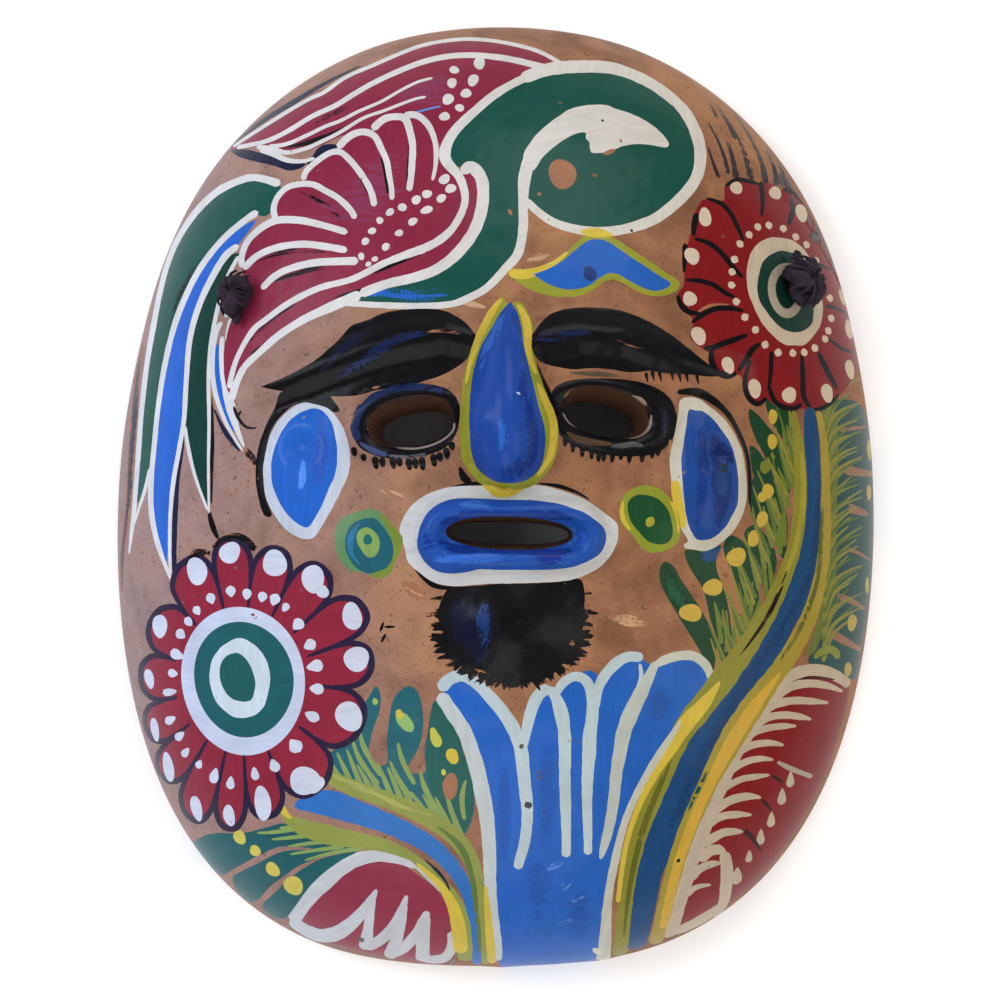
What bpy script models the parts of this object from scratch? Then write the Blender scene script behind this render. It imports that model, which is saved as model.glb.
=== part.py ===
"""Painted terracotta wall mask: a domed clay shell with pierced eyes and mouth, and its knotted hanging cord.

The mask lies face up on its flat rim in the plane z = 0, with the brow towards +Y. All lengths are in metres.
"""
import math

import bmesh
import bpy
from mathutils import Matrix, Vector

# The shell
HALF_WIDTH = 0.0948
HALF_HEIGHT = 0.1178
DOME_RISE = 0.060
WALL = 0.007
CROWN_LEAN = 0.0013
TEMPLE_DIP = 0.0023
TEMPLE_SINE = 0.42
TEMPLE_SPREAD = 0.31
FOREHEAD_FULLNESS = 2.16
JAW_FULLNESS = 2.63
DOME_FULLNESS = 2.1

# The face, each place measured from the middle of the rim
NOSE_TIP_X = 0.0026
NOSE_BOTTOM_Y = 0.0020
NOSE_LENGTH = 0.0440
NOSE_HALF_WIDTH = 0.0115
NOSE_HEIGHT = 0.0130
NOSE_HOLLOW = 0.0060
LIPS_CENTRE = (0.0036, -0.0090)
LIPS_HALF = (0.0221, 0.0086)
LIPS_HEIGHT = 0.0040
LIPS_CREST = 0.0030
LIPS_SPREAD = 0.0045
MOUTH_CENTRE = (0.0032, -0.0086)
MOUTH_HALF = (0.0148, 0.0035)
MOUTH_TILT = math.radians(-1.5)
MOUTH_TAPER = 0.0009
EYE_HALF = (0.0099, 0.0052)
EYE_TAPER = 0.0016
EYE_SHIFT = 0.0015
LEFT_EYE_CENTRE = (-0.0197, 0.0168)
LEFT_EYE_TILT = math.radians(7)
RIGHT_EYE_CENTRE = (0.0257, 0.0190)
RIGHT_EYE_TILT = math.radians(-10)
LID_HEIGHT = 0.0025
LID_CREST = 0.0018
LID_SPREAD = 0.0034
SOCKET_DEPTH = 0.0015
SOCKET_HALF = (0.0200, 0.0130)
BROW_HEIGHT = 0.0030
BROW_HALF_WIDTH = 0.0065
LEFT_BROW = ((-0.0530, 0.0265), (-0.0390, 0.0315), (-0.0240, 0.0365), (-0.0120, 0.0385), (-0.0065, 0.0370))
RIGHT_BROW = ((0.0100, 0.0365), (0.0190, 0.0385), (0.0300, 0.0375), (0.0440, 0.0325), (0.0560, 0.0290))
EAR_HEIGHT = 0.0035
EAR_DENT_DEPTH = 0.0022
EAR_DENT_HALF = (0.0060, 0.0055)
EAR_DENT_RISE = 0.0055
EAR_KNOB_HEIGHT = 0.0016
EAR_KNOB_HALF = (0.0042, 0.0065)
EAR_KNOB_DROP = 0.0020
LEFT_EAR_CENTRE = (-0.0455, 0.0062)
LEFT_EAR_HALF = (0.0113, 0.0165)
RIGHT_EAR_CENTRE = (0.0505, 0.0050)
RIGHT_EAR_HALF = (0.0098, 0.0190)
CHIN_CENTRE = (0.0036, -0.0315)
CHIN_HALF = (0.0200, 0.0180)
CHIN_HEIGHT = 0.0050
CHEEK_HALF = (0.0190, 0.0170)
CHEEK_HEIGHT = 0.0025
LEFT_CHEEK_CENTRE = (-0.0320, -0.0110)
RIGHT_CHEEK_CENTRE = (0.0370, -0.0080)

# The chip in the left edge
CHIP_ANGLE = math.radians(205.5)
CHIP_DEPTH = 0.0012
CHIP_RADIUS = 0.0080

# The hanging cord and its holes
CORD_DIAMETER = 0.003
CORD_CLEARANCE = 0.001
HOLE_DIAMETER = CORD_DIAMETER + 2 * CORD_CLEARANCE
LEFT_HOLE = (-0.0603, 0.0474)
RIGHT_HOLE = (0.0715, 0.0508)
KNOT_GAP = 0.0003
LEFT_KNOT_HALF = (0.0044, 0.0056, 0.0034)
LEFT_KNOT_TURN = math.radians(-6)
LEFT_KNOT_TAIL = math.radians(-80)
RIGHT_KNOT_HALF = (0.0058, 0.0062, 0.0040)
RIGHT_KNOT_TURN = math.radians(12)
RIGHT_KNOT_TAIL = math.radians(70)
KNOT_TAIL_REACH = 0.45
KNOT_WRAPS = 3
KNOT_WRAP_DEPTH = 0.07

# How finely each surface is divided
FACE_SPOKES = 88
FACE_RINGS = 36
FACE_REACH = 0.50
FACE_RING_SHARE = 0.69
HOLLOW_SPOKES = 56
HOLLOW_RINGS = 12
HOLLOW_SKIRT = 0.012
SLOT_FACETS = 24
SLOT_OVERRUN = 0.006
SLOT_FULLNESS = 2.4
HOLE_FACETS = 16
KNOT_SEGMENTS = 20
KNOT_RINGS = 14
CORD_STEP = 0.0075

# Where the cord lies: out of each hole, down to the surface that the rim lies on, and loosely across
CORD_ROUTE = (
    (-0.0603, 0.0474, 0.0408),
    (-0.0567, 0.0459, 0.0350),
    (-0.0541, 0.0448, 0.0308),
    (-0.0518, 0.0435, 0.0235),
    (-0.0500, 0.0415, 0.0140),
    (-0.0465, 0.0390, 0.0060),
    (-0.0395, 0.0385, 0.0021),
    (-0.0290, 0.0430, 0.0017),
    (-0.0120, 0.0498, 0.0017),
    (0.0080, 0.0512, 0.0017),
    (0.0260, 0.0462, 0.0017),
    (0.0400, 0.0415, 0.0019),
    (0.0495, 0.0412, 0.0052),
    (0.0555, 0.0435, 0.0115),
    (0.0599, 0.0461, 0.0182),
    (0.0635, 0.0479, 0.0236),
    (0.0669, 0.0491, 0.0272),
    (0.0715, 0.0508, 0.0321),
)


def clear_scene():
    """Remove the objects that a new file opens with."""
    for item in list(bpy.data.objects):
        bpy.data.objects.remove(item, do_unlink=True)


def collection(name):
    """A collection in the scene with this name."""
    group = bpy.data.collections.new(name)
    bpy.context.scene.collection.children.link(group)
    return group


def material(name, colour, roughness):
    """A plain surface with one colour."""
    surface = bpy.data.materials.new(name)
    surface.use_nodes = True
    shader = surface.node_tree.nodes["Principled BSDF"]
    shader.inputs["Base Color"].default_value = (*colour, 1.0)
    shader.inputs["Roughness"].default_value = roughness
    shader.inputs["Metallic"].default_value = 0.0
    surface.diffuse_color = (*colour, 1.0)
    return surface


def mesh_object(name, shape, group, surface=None):
    """Put a finished bmesh into the scene as a named object."""
    mesh = bpy.data.meshes.new(name)
    shape.to_mesh(mesh)
    shape.free()
    item = bpy.data.objects.new(name, mesh)
    group.objects.link(item)
    if surface:
        mesh.materials.append(surface)
    return item


def cutter(name, shape, group):
    """A closed body that only cuts, and is drawn as wires."""
    item = mesh_object(name, shape, group)
    item.hide_render = True
    item.display_type = "WIRE"
    return item


def cut(item, tool):
    """Take the tool's body away from the item."""
    step = item.modifiers.new("cut_" + tool.name, "BOOLEAN")
    step.operation = "DIFFERENCE"
    step.solver = "EXACT"
    step.object = tool


def outline_reach(angle, inset):
    """Distance from the middle to the rim at this angle, with the outline drawn in by inset."""
    sine = math.sin(angle)
    fullness = JAW_FULLNESS + (FOREHEAD_FULLNESS - JAW_FULLNESS) * (1 + sine) / 2
    across = abs(math.cos(angle) / (HALF_WIDTH - inset)) ** fullness
    along = abs(sine / (HALF_HEIGHT - inset)) ** fullness
    temple = math.exp(-(((sine - TEMPLE_SINE) / TEMPLE_SPREAD) ** 2))
    return (across + along) ** (-1 / fullness) - TEMPLE_DIP * temple


def outline_point(angle, inset):
    """The rim's point at this angle, leaning to +X towards the crown."""
    reach = outline_reach(angle, inset)
    y = reach * math.sin(angle)
    return reach * math.cos(angle) + CROWN_LEAN * y / HALF_HEIGHT, y


def share_out(x, y, inset):
    """How far a place lies from the middle to the rim: 0 at the middle, 1 at the rim."""
    upright_x = x - CROWN_LEAN * y / HALF_HEIGHT
    return math.hypot(upright_x, y) / outline_reach(math.atan2(y, upright_x), inset)


def dome_height(x, y, inset):
    """Height of the plain dome, drawn in by inset all round."""
    share = min(1.0, share_out(x, y, inset))
    return (DOME_RISE - inset) * math.sqrt(1 - share**DOME_FULLNESS)


def turned(x, y, centre, tilt):
    """Place measured from a centre, in axes turned by tilt."""
    dx, dy = x - centre[0], y - centre[1]
    return dx * math.cos(tilt) + dy * math.sin(tilt), dy * math.cos(tilt) - dx * math.sin(tilt)


def swell(distance):
    """A smooth mound: 1 at distance 0, nothing from distance 1 outwards."""
    return (1 - distance * distance) ** 2 if abs(distance) < 1 else 0.0


def oval_distance(x, y, centre, half, tilt=0.0):
    """0 at an oval's centre, 1 on its edge."""
    across, along = turned(x, y, centre, tilt)
    return math.hypot(across / half[0], along / half[1])


def stadium_distance(x, y, centre, half):
    """Distance outside a bar with round ends, negative within it."""
    radius = half[1]
    over = max(abs(x - centre[0]) - (half[0] - radius), 0.0)
    return math.hypot(over, y - centre[1]) - radius


def route_distance(x, y, route):
    """Distance to a line of straight runs."""
    place = Vector((x, y))
    nearest = math.inf
    for start, end in zip(route, route[1:]):
        run = Vector(end) - Vector(start)
        along = max(0.0, min(1.0, (place - Vector(start)).dot(run) / run.length_squared))
        nearest = min(nearest, (place - Vector(start) - along * run).length)
    return nearest


def drop_width(share):
    """Half width of a falling drop from its round foot at 0 to its point at 1, at most about 1."""
    if not 0 < share < 1:
        return 0.0
    turn = math.acos(2 * share - 1)
    return math.sin(turn) * math.sin(turn / 2) / 0.77


def nose_relief(x, y, height, half_width):
    """The nose: a drop that is highest low down and runs out between the brows."""
    width = drop_width((y - NOSE_BOTTOM_Y) / NOSE_LENGTH)
    across = abs(x - NOSE_TIP_X) / (half_width * width) if width > 0 else 1.0
    return height * width * (1 - across * across) ** 1.1 if across < 1 else 0.0


def eye_relief(x, y, centre, tilt):
    """The hollow of the socket and the raised lids round the opening."""
    socket = SOCKET_DEPTH * swell(oval_distance(x, y, centre, SOCKET_HALF, tilt))
    edge = (oval_distance(x, y, centre, EYE_HALF, tilt) - 1) * EYE_HALF[1]
    return LID_HEIGHT * swell((edge - LID_CREST) / LID_SPREAD) - socket


def ear_relief(x, y, centre, half):
    """A raised oval pad with a dent above its middle and a knob just below it."""
    dent_centre = (centre[0], centre[1] + EAR_DENT_RISE)
    knob_centre = (centre[0], centre[1] - EAR_KNOB_DROP)
    pad = EAR_HEIGHT * swell(oval_distance(x, y, centre, half) ** 2)
    dent = EAR_DENT_DEPTH * swell(oval_distance(x, y, dent_centre, EAR_DENT_HALF))
    return pad - dent + EAR_KNOB_HEIGHT * swell(oval_distance(x, y, knob_centre, EAR_KNOB_HALF))


def face_height(x, y):
    """Height of the mask's face, with the features that stand out of the dome."""
    lips = (stadium_distance(x, y, LIPS_CENTRE, LIPS_HALF) + LIPS_CREST) / LIPS_SPREAD
    features = [
        nose_relief(x, y, NOSE_HEIGHT, NOSE_HALF_WIDTH),
        LIPS_HEIGHT * swell(lips),
        eye_relief(x, y, LEFT_EYE_CENTRE, LEFT_EYE_TILT),
        eye_relief(x, y, RIGHT_EYE_CENTRE, RIGHT_EYE_TILT),
        BROW_HEIGHT * swell(route_distance(x, y, LEFT_BROW) / BROW_HALF_WIDTH),
        BROW_HEIGHT * swell(route_distance(x, y, RIGHT_BROW) / BROW_HALF_WIDTH),
        ear_relief(x, y, LEFT_EAR_CENTRE, LEFT_EAR_HALF),
        ear_relief(x, y, RIGHT_EAR_CENTRE, RIGHT_EAR_HALF),
        CHIN_HEIGHT * swell(oval_distance(x, y, CHIN_CENTRE, CHIN_HALF)),
        CHEEK_HEIGHT * swell(oval_distance(x, y, LEFT_CHEEK_CENTRE, CHEEK_HALF)),
        CHEEK_HEIGHT * swell(oval_distance(x, y, RIGHT_CHEEK_CENTRE, CHEEK_HALF)),
    ]
    return dome_height(x, y, 0.0) + sum(features)


def hollow_height(x, y):
    """Height of the hollow behind the face, deeper behind the nose."""
    return dome_height(x, y, WALL) + nose_relief(x, y, NOSE_HOLLOW, NOSE_HALF_WIDTH)


def face_normal(x, y):
    """The direction straight out of the dome at a place."""
    reach = WALL / 10
    slope_x = (dome_height(x + reach, y, 0.0) - dome_height(x - reach, y, 0.0)) / (2 * reach)
    slope_y = (dome_height(x, y + reach, 0.0) - dome_height(x, y - reach, 0.0)) / (2 * reach)
    return Vector((-slope_x, -slope_y, 1.0)).normalized()


def ring_reach(share):
    """How far out a ring lies: even steps over the face, then even turns down the dome's side."""
    if share < FACE_RING_SHARE:
        return FACE_REACH * share / FACE_RING_SHARE
    start = math.asin(FACE_REACH)
    return math.sin(start + (math.pi / 2 - start) * (share - FACE_RING_SHARE) / (1 - FACE_RING_SHARE))


def domed_body(spokes, rings, inset, height_at, skirt):
    """A sphere's upper half, spread to the outline and raised to a height at each place, with a flat base."""
    body = bmesh.new()
    bmesh.ops.create_uvsphere(body, u_segments=spokes, v_segments=2 * rings, radius=1.0)
    everything = body.verts[:] + body.edges[:] + body.faces[:]
    bmesh.ops.bisect_plane(body, geom=everything, dist=1e-5, plane_co=(0, 0, 0), plane_no=(0, 0, 1), clear_inner=True)
    for vertex in body.verts:
        place = vertex.co
        reach = ring_reach(math.atan2(math.hypot(place.x, place.y), max(0.0, place.z)) / (math.pi / 2))
        rim_x, rim_y = outline_point(math.atan2(place.y, place.x), inset)
        x = reach * rim_x + (1 - reach**2) * NOSE_TIP_X
        y = reach * rim_y + (1 - reach**2) * NOSE_BOTTOM_Y
        on_rim = any(edge.is_boundary for edge in vertex.link_edges)
        vertex.co = (x, y, 0.0 if on_rim else height_at(x, y))
    if skirt:
        rim = [edge for edge in body.edges if edge.is_boundary]
        lower = bmesh.ops.extrude_edge_only(body, edges=rim)["geom"]
        moved = [part for part in lower if isinstance(part, bmesh.types.BMVert)]
        bmesh.ops.translate(body, verts=moved, vec=(0, 0, -skirt))
    bmesh.ops.holes_fill(body, edges=[edge for edge in body.edges if edge.is_boundary], sides=0)
    bmesh.ops.recalc_face_normals(body, faces=body.faces)
    bmesh.ops.triangulate(body, faces=body.faces)
    return body


def slot_body(centre, half, tilt, shift, taper):
    """A slot through the wall that narrows inwards, its middle moving by shift over the wall's thickness."""
    top = face_height(*centre)
    body = bmesh.new()
    bmesh.ops.create_cone(body, segments=SLOT_FACETS, radius1=1.0, radius2=1.0, depth=2.0, cap_ends=True)
    for vertex in body.verts:
        depth = -SLOT_OVERRUN if vertex.co.z > 0 else WALL + SLOT_OVERRUN
        share = depth / WALL
        turn = math.atan2(vertex.co.y, vertex.co.x)
        across = math.copysign(abs(math.cos(turn)) ** (2 / SLOT_FULLNESS), math.cos(turn))
        along = math.copysign(abs(math.sin(turn)) ** (2 / SLOT_FULLNESS), math.sin(turn))
        dx, dy = across * (half[0] - taper * share), along * (half[1] - taper * share)
        x = centre[0] + shift[0] * share + dx * math.cos(tilt) - dy * math.sin(tilt)
        y = centre[1] + shift[1] * share + dx * math.sin(tilt) + dy * math.cos(tilt)
        vertex.co = (x, y, top - depth)
    bmesh.ops.recalc_face_normals(body, faces=body.faces)
    return body


def hole_body(place):
    """A round hole square through the wall at a place on the dome."""
    normal = face_normal(*place)
    middle = Vector((*place, dome_height(*place, 0.0))) - normal * WALL / 2
    turn = normal.to_track_quat("Z", "Y").to_matrix().to_4x4()
    body = bmesh.new()
    bmesh.ops.create_cone(
        body,
        segments=HOLE_FACETS,
        radius1=HOLE_DIAMETER / 2,
        radius2=HOLE_DIAMETER / 2,
        depth=WALL + 2 * HOLE_DIAMETER,
        cap_ends=True,
        matrix=Matrix.Translation(middle) @ turn,
    )
    return body


def chip_body():
    """A ball that bites a shallow chip out of the left edge."""
    x, y = outline_point(CHIP_ANGLE, 0.0)
    outwards = Vector((x, y, 0.0)).normalized() * (CHIP_RADIUS - CHIP_DEPTH)
    body = bmesh.new()
    bmesh.ops.create_icosphere(
        body, subdivisions=2, radius=CHIP_RADIUS, matrix=Matrix.Translation(Vector((x, y, 0.0)) + outwards)
    )
    return body


def build_mask(group, cutters):
    """The clay shell, hollowed, with its openings cut."""
    clay = material("painted_terracotta", (0.45, 0.24, 0.13), 0.45)
    shell = domed_body(FACE_SPOKES, FACE_RINGS, 0.0, face_height, 0.0)
    mask = mesh_object("mask", shell, group, clay)
    bodies = {
        "hollow": domed_body(HOLLOW_SPOKES, HOLLOW_RINGS, WALL, hollow_height, HOLLOW_SKIRT),
        "left_eye": slot_body(LEFT_EYE_CENTRE, EYE_HALF, LEFT_EYE_TILT, (EYE_SHIFT, -EYE_SHIFT), EYE_TAPER),
        "right_eye": slot_body(RIGHT_EYE_CENTRE, EYE_HALF, RIGHT_EYE_TILT, (-EYE_SHIFT, -EYE_SHIFT), EYE_TAPER),
        "mouth": slot_body(MOUTH_CENTRE, MOUTH_HALF, MOUTH_TILT, (0.0, 0.0), MOUTH_TAPER),
        "left_cord_hole": hole_body(LEFT_HOLE),
        "right_cord_hole": hole_body(RIGHT_HOLE),
        "edge_chip": chip_body(),
    }
    for name, body in bodies.items():
        cut(mask, cutter(name, body, cutters))
    mask.data.shade_smooth()
    mask.data.set_sharp_from_angle(angle=math.radians(35))


def build_knot(name, place, half, turn, tail, group, surface):
    """A knot pulled down over its hole: a wrapped ball with a flat foot and one short end sticking out."""
    body = bmesh.new()
    bmesh.ops.create_uvsphere(body, u_segments=KNOT_SEGMENTS, v_segments=KNOT_RINGS, radius=1.0)
    for vertex in body.verts:
        x, y, z = vertex.co
        wrap = 1 - KNOT_WRAP_DEPTH * math.sin(KNOT_WRAPS * (math.atan2(z, x) + y)) ** 2
        towards = max(0.0, x * math.cos(tail) + y * math.sin(tail))
        stretch = wrap * (1 + KNOT_TAIL_REACH * towards**8)
        lifted = half[2] * (1 + z * wrap)
        vertex.co = (half[0] * x * stretch, half[1] * y * stretch, KNOT_GAP + max(0.0, lifted - half[2] * 0.12))
    bmesh.ops.recalc_face_normals(body, faces=body.faces)
    normal = face_normal(*place)
    upright = Vector((0, 1, 0)) - normal * normal.y
    upright.normalize()
    seat = Matrix((upright.cross(normal), upright, normal)).transposed().to_4x4()
    origin = Vector((*place, dome_height(*place, 0.0)))
    knot = mesh_object(name, body, group, surface)
    knot.matrix_world = Matrix.Translation(origin) @ seat @ Matrix.Rotation(turn, 4, "Z")
    knot.data.shade_smooth()


def smooth_route(route, step):
    """Evenly spaced points on the smooth curve through a route's own points."""
    points = [Vector(point) for point in route]
    padded = [2 * points[0] - points[1], *points, 2 * points[-1] - points[-2]]
    fine = [points[0]]
    for before, start, end, after in zip(padded, padded[1:], padded[2:], padded[3:]):
        for part in range(1, 17):
            t = part / 16
            along = 2 * start + (end - before) * t
            bend = (2 * before - 5 * start + 4 * end - after) * t**2
            close = (3 * start - before - 3 * end + after) * t**3
            fine.append((along + bend + close) / 2)
    lengths = [(after - before).length for before, after in zip(fine, fine[1:])]
    count = round(sum(lengths) / step)
    spacing = sum(lengths) / count
    even, passed, wanted = [fine[0]], 0.0, spacing
    for before, after, length in zip(fine, fine[1:], lengths):
        while wanted <= passed + length and len(even) < count:
            even.append(before.lerp(after, (wanted - passed) / length))
            wanted += spacing
        passed += length
    return [*even, fine[-1]]


def build_cord(group, surface):
    """The cord behind the face, from the foot of one knot to the foot of the other."""
    points = smooth_route(CORD_ROUTE, CORD_STEP)
    curve = bpy.data.curves.new("hanging_cord", "CURVE")
    curve.dimensions = "3D"
    curve.bevel_depth = CORD_DIAMETER / 2
    curve.bevel_resolution = 2
    curve.use_fill_caps = True
    line = curve.splines.new("POLY")
    line.points.add(len(points) - 1)
    for place, point in zip(points, line.points):
        point.co = (*place, 1.0)
    curve.materials.append(surface)
    group.objects.link(bpy.data.objects.new("hanging_cord", curve))


def main():
    """Build the mask, its two knots and its cord."""
    clear_scene()
    group = collection("terracotta_mask")
    cutters = collection("cutters")
    waxed = material("dark_cord", (0.03, 0.02, 0.025), 0.5)
    build_mask(group, cutters)
    build_knot("cord_knot_left", LEFT_HOLE, LEFT_KNOT_HALF, LEFT_KNOT_TURN, LEFT_KNOT_TAIL, group, waxed)
    build_knot("cord_knot_right", RIGHT_HOLE, RIGHT_KNOT_HALF, RIGHT_KNOT_TURN, RIGHT_KNOT_TAIL, group, waxed)
    build_cord(group, waxed)


main()
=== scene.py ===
"""Looks of the painted terracotta mask: its clay face, its knots and cord, and the floor, light and camera.

Places on the face are in millimetres from the middle of the rim, seen from straight above, with the brow
towards +Y. They become metres where a mesh is made.
"""
import math

import bpy
import numpy as np
from mathutils import Matrix, Vector, geometry


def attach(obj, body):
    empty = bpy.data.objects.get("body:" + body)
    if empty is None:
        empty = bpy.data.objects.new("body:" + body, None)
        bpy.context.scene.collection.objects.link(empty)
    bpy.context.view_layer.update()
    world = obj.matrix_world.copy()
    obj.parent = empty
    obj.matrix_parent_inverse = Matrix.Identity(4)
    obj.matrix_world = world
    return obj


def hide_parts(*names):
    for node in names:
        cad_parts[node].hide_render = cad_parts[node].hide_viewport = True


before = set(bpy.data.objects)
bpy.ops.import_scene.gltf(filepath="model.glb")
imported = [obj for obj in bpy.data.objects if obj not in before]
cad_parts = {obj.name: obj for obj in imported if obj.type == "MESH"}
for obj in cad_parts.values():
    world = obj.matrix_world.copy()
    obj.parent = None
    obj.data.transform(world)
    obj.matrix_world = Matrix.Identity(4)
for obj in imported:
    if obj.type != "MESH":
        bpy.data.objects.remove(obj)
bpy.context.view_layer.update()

MM = 0.001

# The shell, as in the solids
HALF_WIDTH = 94.8
HALF_HEIGHT = 117.8
DOME_RISE = 60.0
WALL = 7.0
CROWN_LEAN = 1.3
TEMPLE_DIP = 2.3
TEMPLE_SINE = 0.42
TEMPLE_SPREAD = 0.31
FOREHEAD_FULLNESS = 2.16
JAW_FULLNESS = 2.63
DOME_FULLNESS = 2.1

# The face, as in the solids
NOSE_TIP_X = 2.6
NOSE_BOTTOM_Y = 2.0
NOSE_LENGTH = 44.0
NOSE_HALF_WIDTH = 11.5
NOSE_HEIGHT = 13.0
NOSE_HOLLOW = 6.0
LIPS_CENTRE = (3.6, -9.0)
LIPS_HALF = (22.1, 8.6)
LIPS_HEIGHT = 4.0
LIPS_CREST = 3.0
LIPS_SPREAD = 4.5
MOUTH_CENTRE = (3.2, -8.6)
MOUTH_HALF = (14.8, 3.5)
MOUTH_TILT = math.radians(-1.5)
MOUTH_TAPER = 0.9
EYE_HALF = (9.9, 5.2)
EYE_TAPER = 1.6
EYE_SHIFT = 1.5
LEFT_EYE_CENTRE = (-19.7, 16.8)
LEFT_EYE_TILT = math.radians(7)
RIGHT_EYE_CENTRE = (25.7, 19.0)
RIGHT_EYE_TILT = math.radians(-10)
LID_HEIGHT = 2.5
LID_CREST = 1.8
LID_SPREAD = 3.4
SOCKET_DEPTH = 1.5
SOCKET_HALF = (20.0, 13.0)
BROW_HEIGHT = 3.0
BROW_HALF_WIDTH = 6.5
LEFT_BROW = ((-53.0, 26.5), (-39.0, 31.5), (-24.0, 36.5), (-12.0, 38.5), (-6.5, 37.0))
RIGHT_BROW = ((10.0, 36.5), (19.0, 38.5), (30.0, 37.5), (44.0, 32.5), (56.0, 29.0))
EAR_HEIGHT = 3.5
EAR_DENT_DEPTH = 2.2
EAR_DENT_HALF = (6.0, 5.5)
EAR_DENT_RISE = 5.5
EAR_KNOB_HEIGHT = 1.6
EAR_KNOB_HALF = (4.2, 6.5)
EAR_KNOB_DROP = 2.0
LEFT_EAR_CENTRE = (-45.5, 6.2)
LEFT_EAR_HALF = (11.3, 16.5)
RIGHT_EAR_CENTRE = (50.5, 5.0)
RIGHT_EAR_HALF = (9.8, 19.0)
CHIN_CENTRE = (3.6, -31.5)
CHIN_HALF = (20.0, 18.0)
CHIN_HEIGHT = 5.0
CHEEK_HALF = (19.0, 17.0)
CHEEK_HEIGHT = 2.5
LEFT_CHEEK_CENTRE = (-32.0, -11.0)
RIGHT_CHEEK_CENTRE = (37.0, -8.0)
CHIP_ANGLE = math.radians(205.5)
CHIP_DEPTH = 1.2
CHIP_RADIUS = 8.0
SLOT_FULLNESS = 2.4
HOLE_DIAMETER = 5.0
LEFT_HOLE = (-60.3, 47.4)
RIGHT_HOLE = (71.5, 50.8)

# The cord, as in the solids, in metres
CORD_DIAMETER = 0.003
CORD_ROUTE = (
    (-0.0603, 0.0474, 0.0408), (-0.0567, 0.0459, 0.0350), (-0.0541, 0.0448, 0.0308),
    (-0.0518, 0.0435, 0.0235), (-0.0500, 0.0415, 0.0140), (-0.0465, 0.0390, 0.0060),
    (-0.0395, 0.0385, 0.0021), (-0.0290, 0.0430, 0.0017), (-0.0120, 0.0498, 0.0017),
    (0.0080, 0.0512, 0.0017), (0.0260, 0.0462, 0.0017), (0.0400, 0.0415, 0.0019),
    (0.0495, 0.0412, 0.0052), (0.0555, 0.0435, 0.0115), (0.0599, 0.0461, 0.0182),
    (0.0635, 0.0479, 0.0236), (0.0669, 0.0491, 0.0272), (0.0715, 0.0508, 0.0321),
)
CORD_STEP = 0.0008
CORD_SIDES = 15
CORD_PLIES = 3
CORD_LAY = 0.011

# The loose threads on each knot, in metres, with the turn from one to the next. Their run is given outwards
# and upwards, in shares of the knot's half sizes.
THREAD_DIAMETER = 0.0009
THREAD_COUNT = 14
THREAD_TURN = 2.4
THREAD_RUN = ((0.2, 1.9), (0.75, 1.7), (1.1, 0.8))

# Where the photograph was taken from, in metres and millimetres of film
CAMERA_PLACE = (0.00025, -0.00025, 0.8)
CAMERA_LENS = 115.35
CAMERA_FILM = 36.0

# How finely the face is divided
FACE_STEP = 1.05
SIDE_STEP = 2.2
LINE_STEP = 0.85
LINE_CLEARANCE = 0.5
ROW_SHARE = 0.866
RIM_STEP = 1.6
HOLLOW_STEP = 3.0
OPENING_FACETS = 72
HOLE_FACETS = 24
FRONT_HALF_WIDTH = 62
FRONT_TOP = 52
FRONT_BOTTOM = -56

# The slow and the quick unevenness that the hand left in the clay, and how it shakes with a brush
SLOW_WAVE = 0.16
SLOW_SPAN = 26.0
QUICK_WAVE = 0.07
QUICK_SPAN = 9.0
PATCH_SHAKE = 0.10
STROKE_SHAKE = 0.08

# A brush at least this dry leaves a soft edge, and the edge takes up this share of the way to the middle
FEATHERED = 0.25
FEATHER_SHARE = 0.7

# The paints and the clay, as seen in plain light, and the clay in painted shade and in a painted sheen
RED = (138, 22, 28)
BERRY = (144, 40, 66)
PLUM = (142, 54, 86)
GREEN = (18, 84, 72)
DEEP_GREEN = (14, 62, 52)
BLUE = (38, 104, 200)
DEEP_BLUE = (32, 62, 128)
SKY = (96, 150, 226)
NAVY = (22, 26, 58)
BLACK = (9, 8, 13)
WHITE = (226, 223, 216)
YELLOW = (222, 196, 72)
LEAF_YELLOW = (158, 162, 52)
FRINGE = ((146, 144, 58), (96, 120, 58), (128, 138, 64))
CLAY = (170, 116, 84)
PALE_CLAY = (184, 134, 102)
# Painted shade on the walls of the eyes, the mouth and the cord holes
SHADED_CLAY = (86, 58, 44)
DARK_CLAY = (138, 94, 68)
LIGHT_CLAY = (178, 126, 94)
WARM_CLAY = (196, 142, 94)
# A painted sheen: the clay pale and cool where the cool light from the left shows on it
CLAY_SHEEN = (170, 142, 136)
STAINED_CLAY = (112, 74, 50)
PORE = (112, 74, 56)
SPECK = (96, 66, 54)

# How fine the variation in the clay and in the strokes is, in turns to a metre
BROAD_TURNS = 34.0
STAIN_TURNS = 75.0
CLOUD_TURNS = 130.0
SPECK_TURNS = 620.0
PORE_TURNS = 1500.0
ALONG_STROKE = 90.0
ACROSS_STROKE = 900.0

# The light in the photograph, kept as a tint: cool at the left, darker and warmer at the right
LEFT_TINT = (0.66, 0.69, 0.81, 1.0)
RIGHT_TINT = (0.55, 0.50, 0.41, 1.0)
TINT_REACH = 0.085

# The cord's fibres, from the dark ones to the pale ones
CORD_SHADES = ((15, 9, 18), (38, 26, 42), (74, 58, 72))

# The studio: the name, place, width, power and colour of each light, and the floor
LIGHTS = (
    ("window", (-1.0, 0.5, 1.0), 0.7, 11.0, (0.88, 0.94, 1.0)),
    ("fill", (1.15, -0.4, 1.0), 1.0, 8.0, (1.0, 0.95, 0.88)),
    ("top", (0.3, 1.2, 1.0), 0.8, 9.0, (1.0, 1.0, 1.0)),
    ("low", (-0.2, -1.25, 1.0), 1.0, 9.0, (1.0, 1.0, 1.0)),
)
LIGHT_AIM = (0, 0, 0.03)
ROOM_LIGHT = 0.6
FLOOR_REACH = 4.0
FLOOR_SHADE = 0.96


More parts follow.
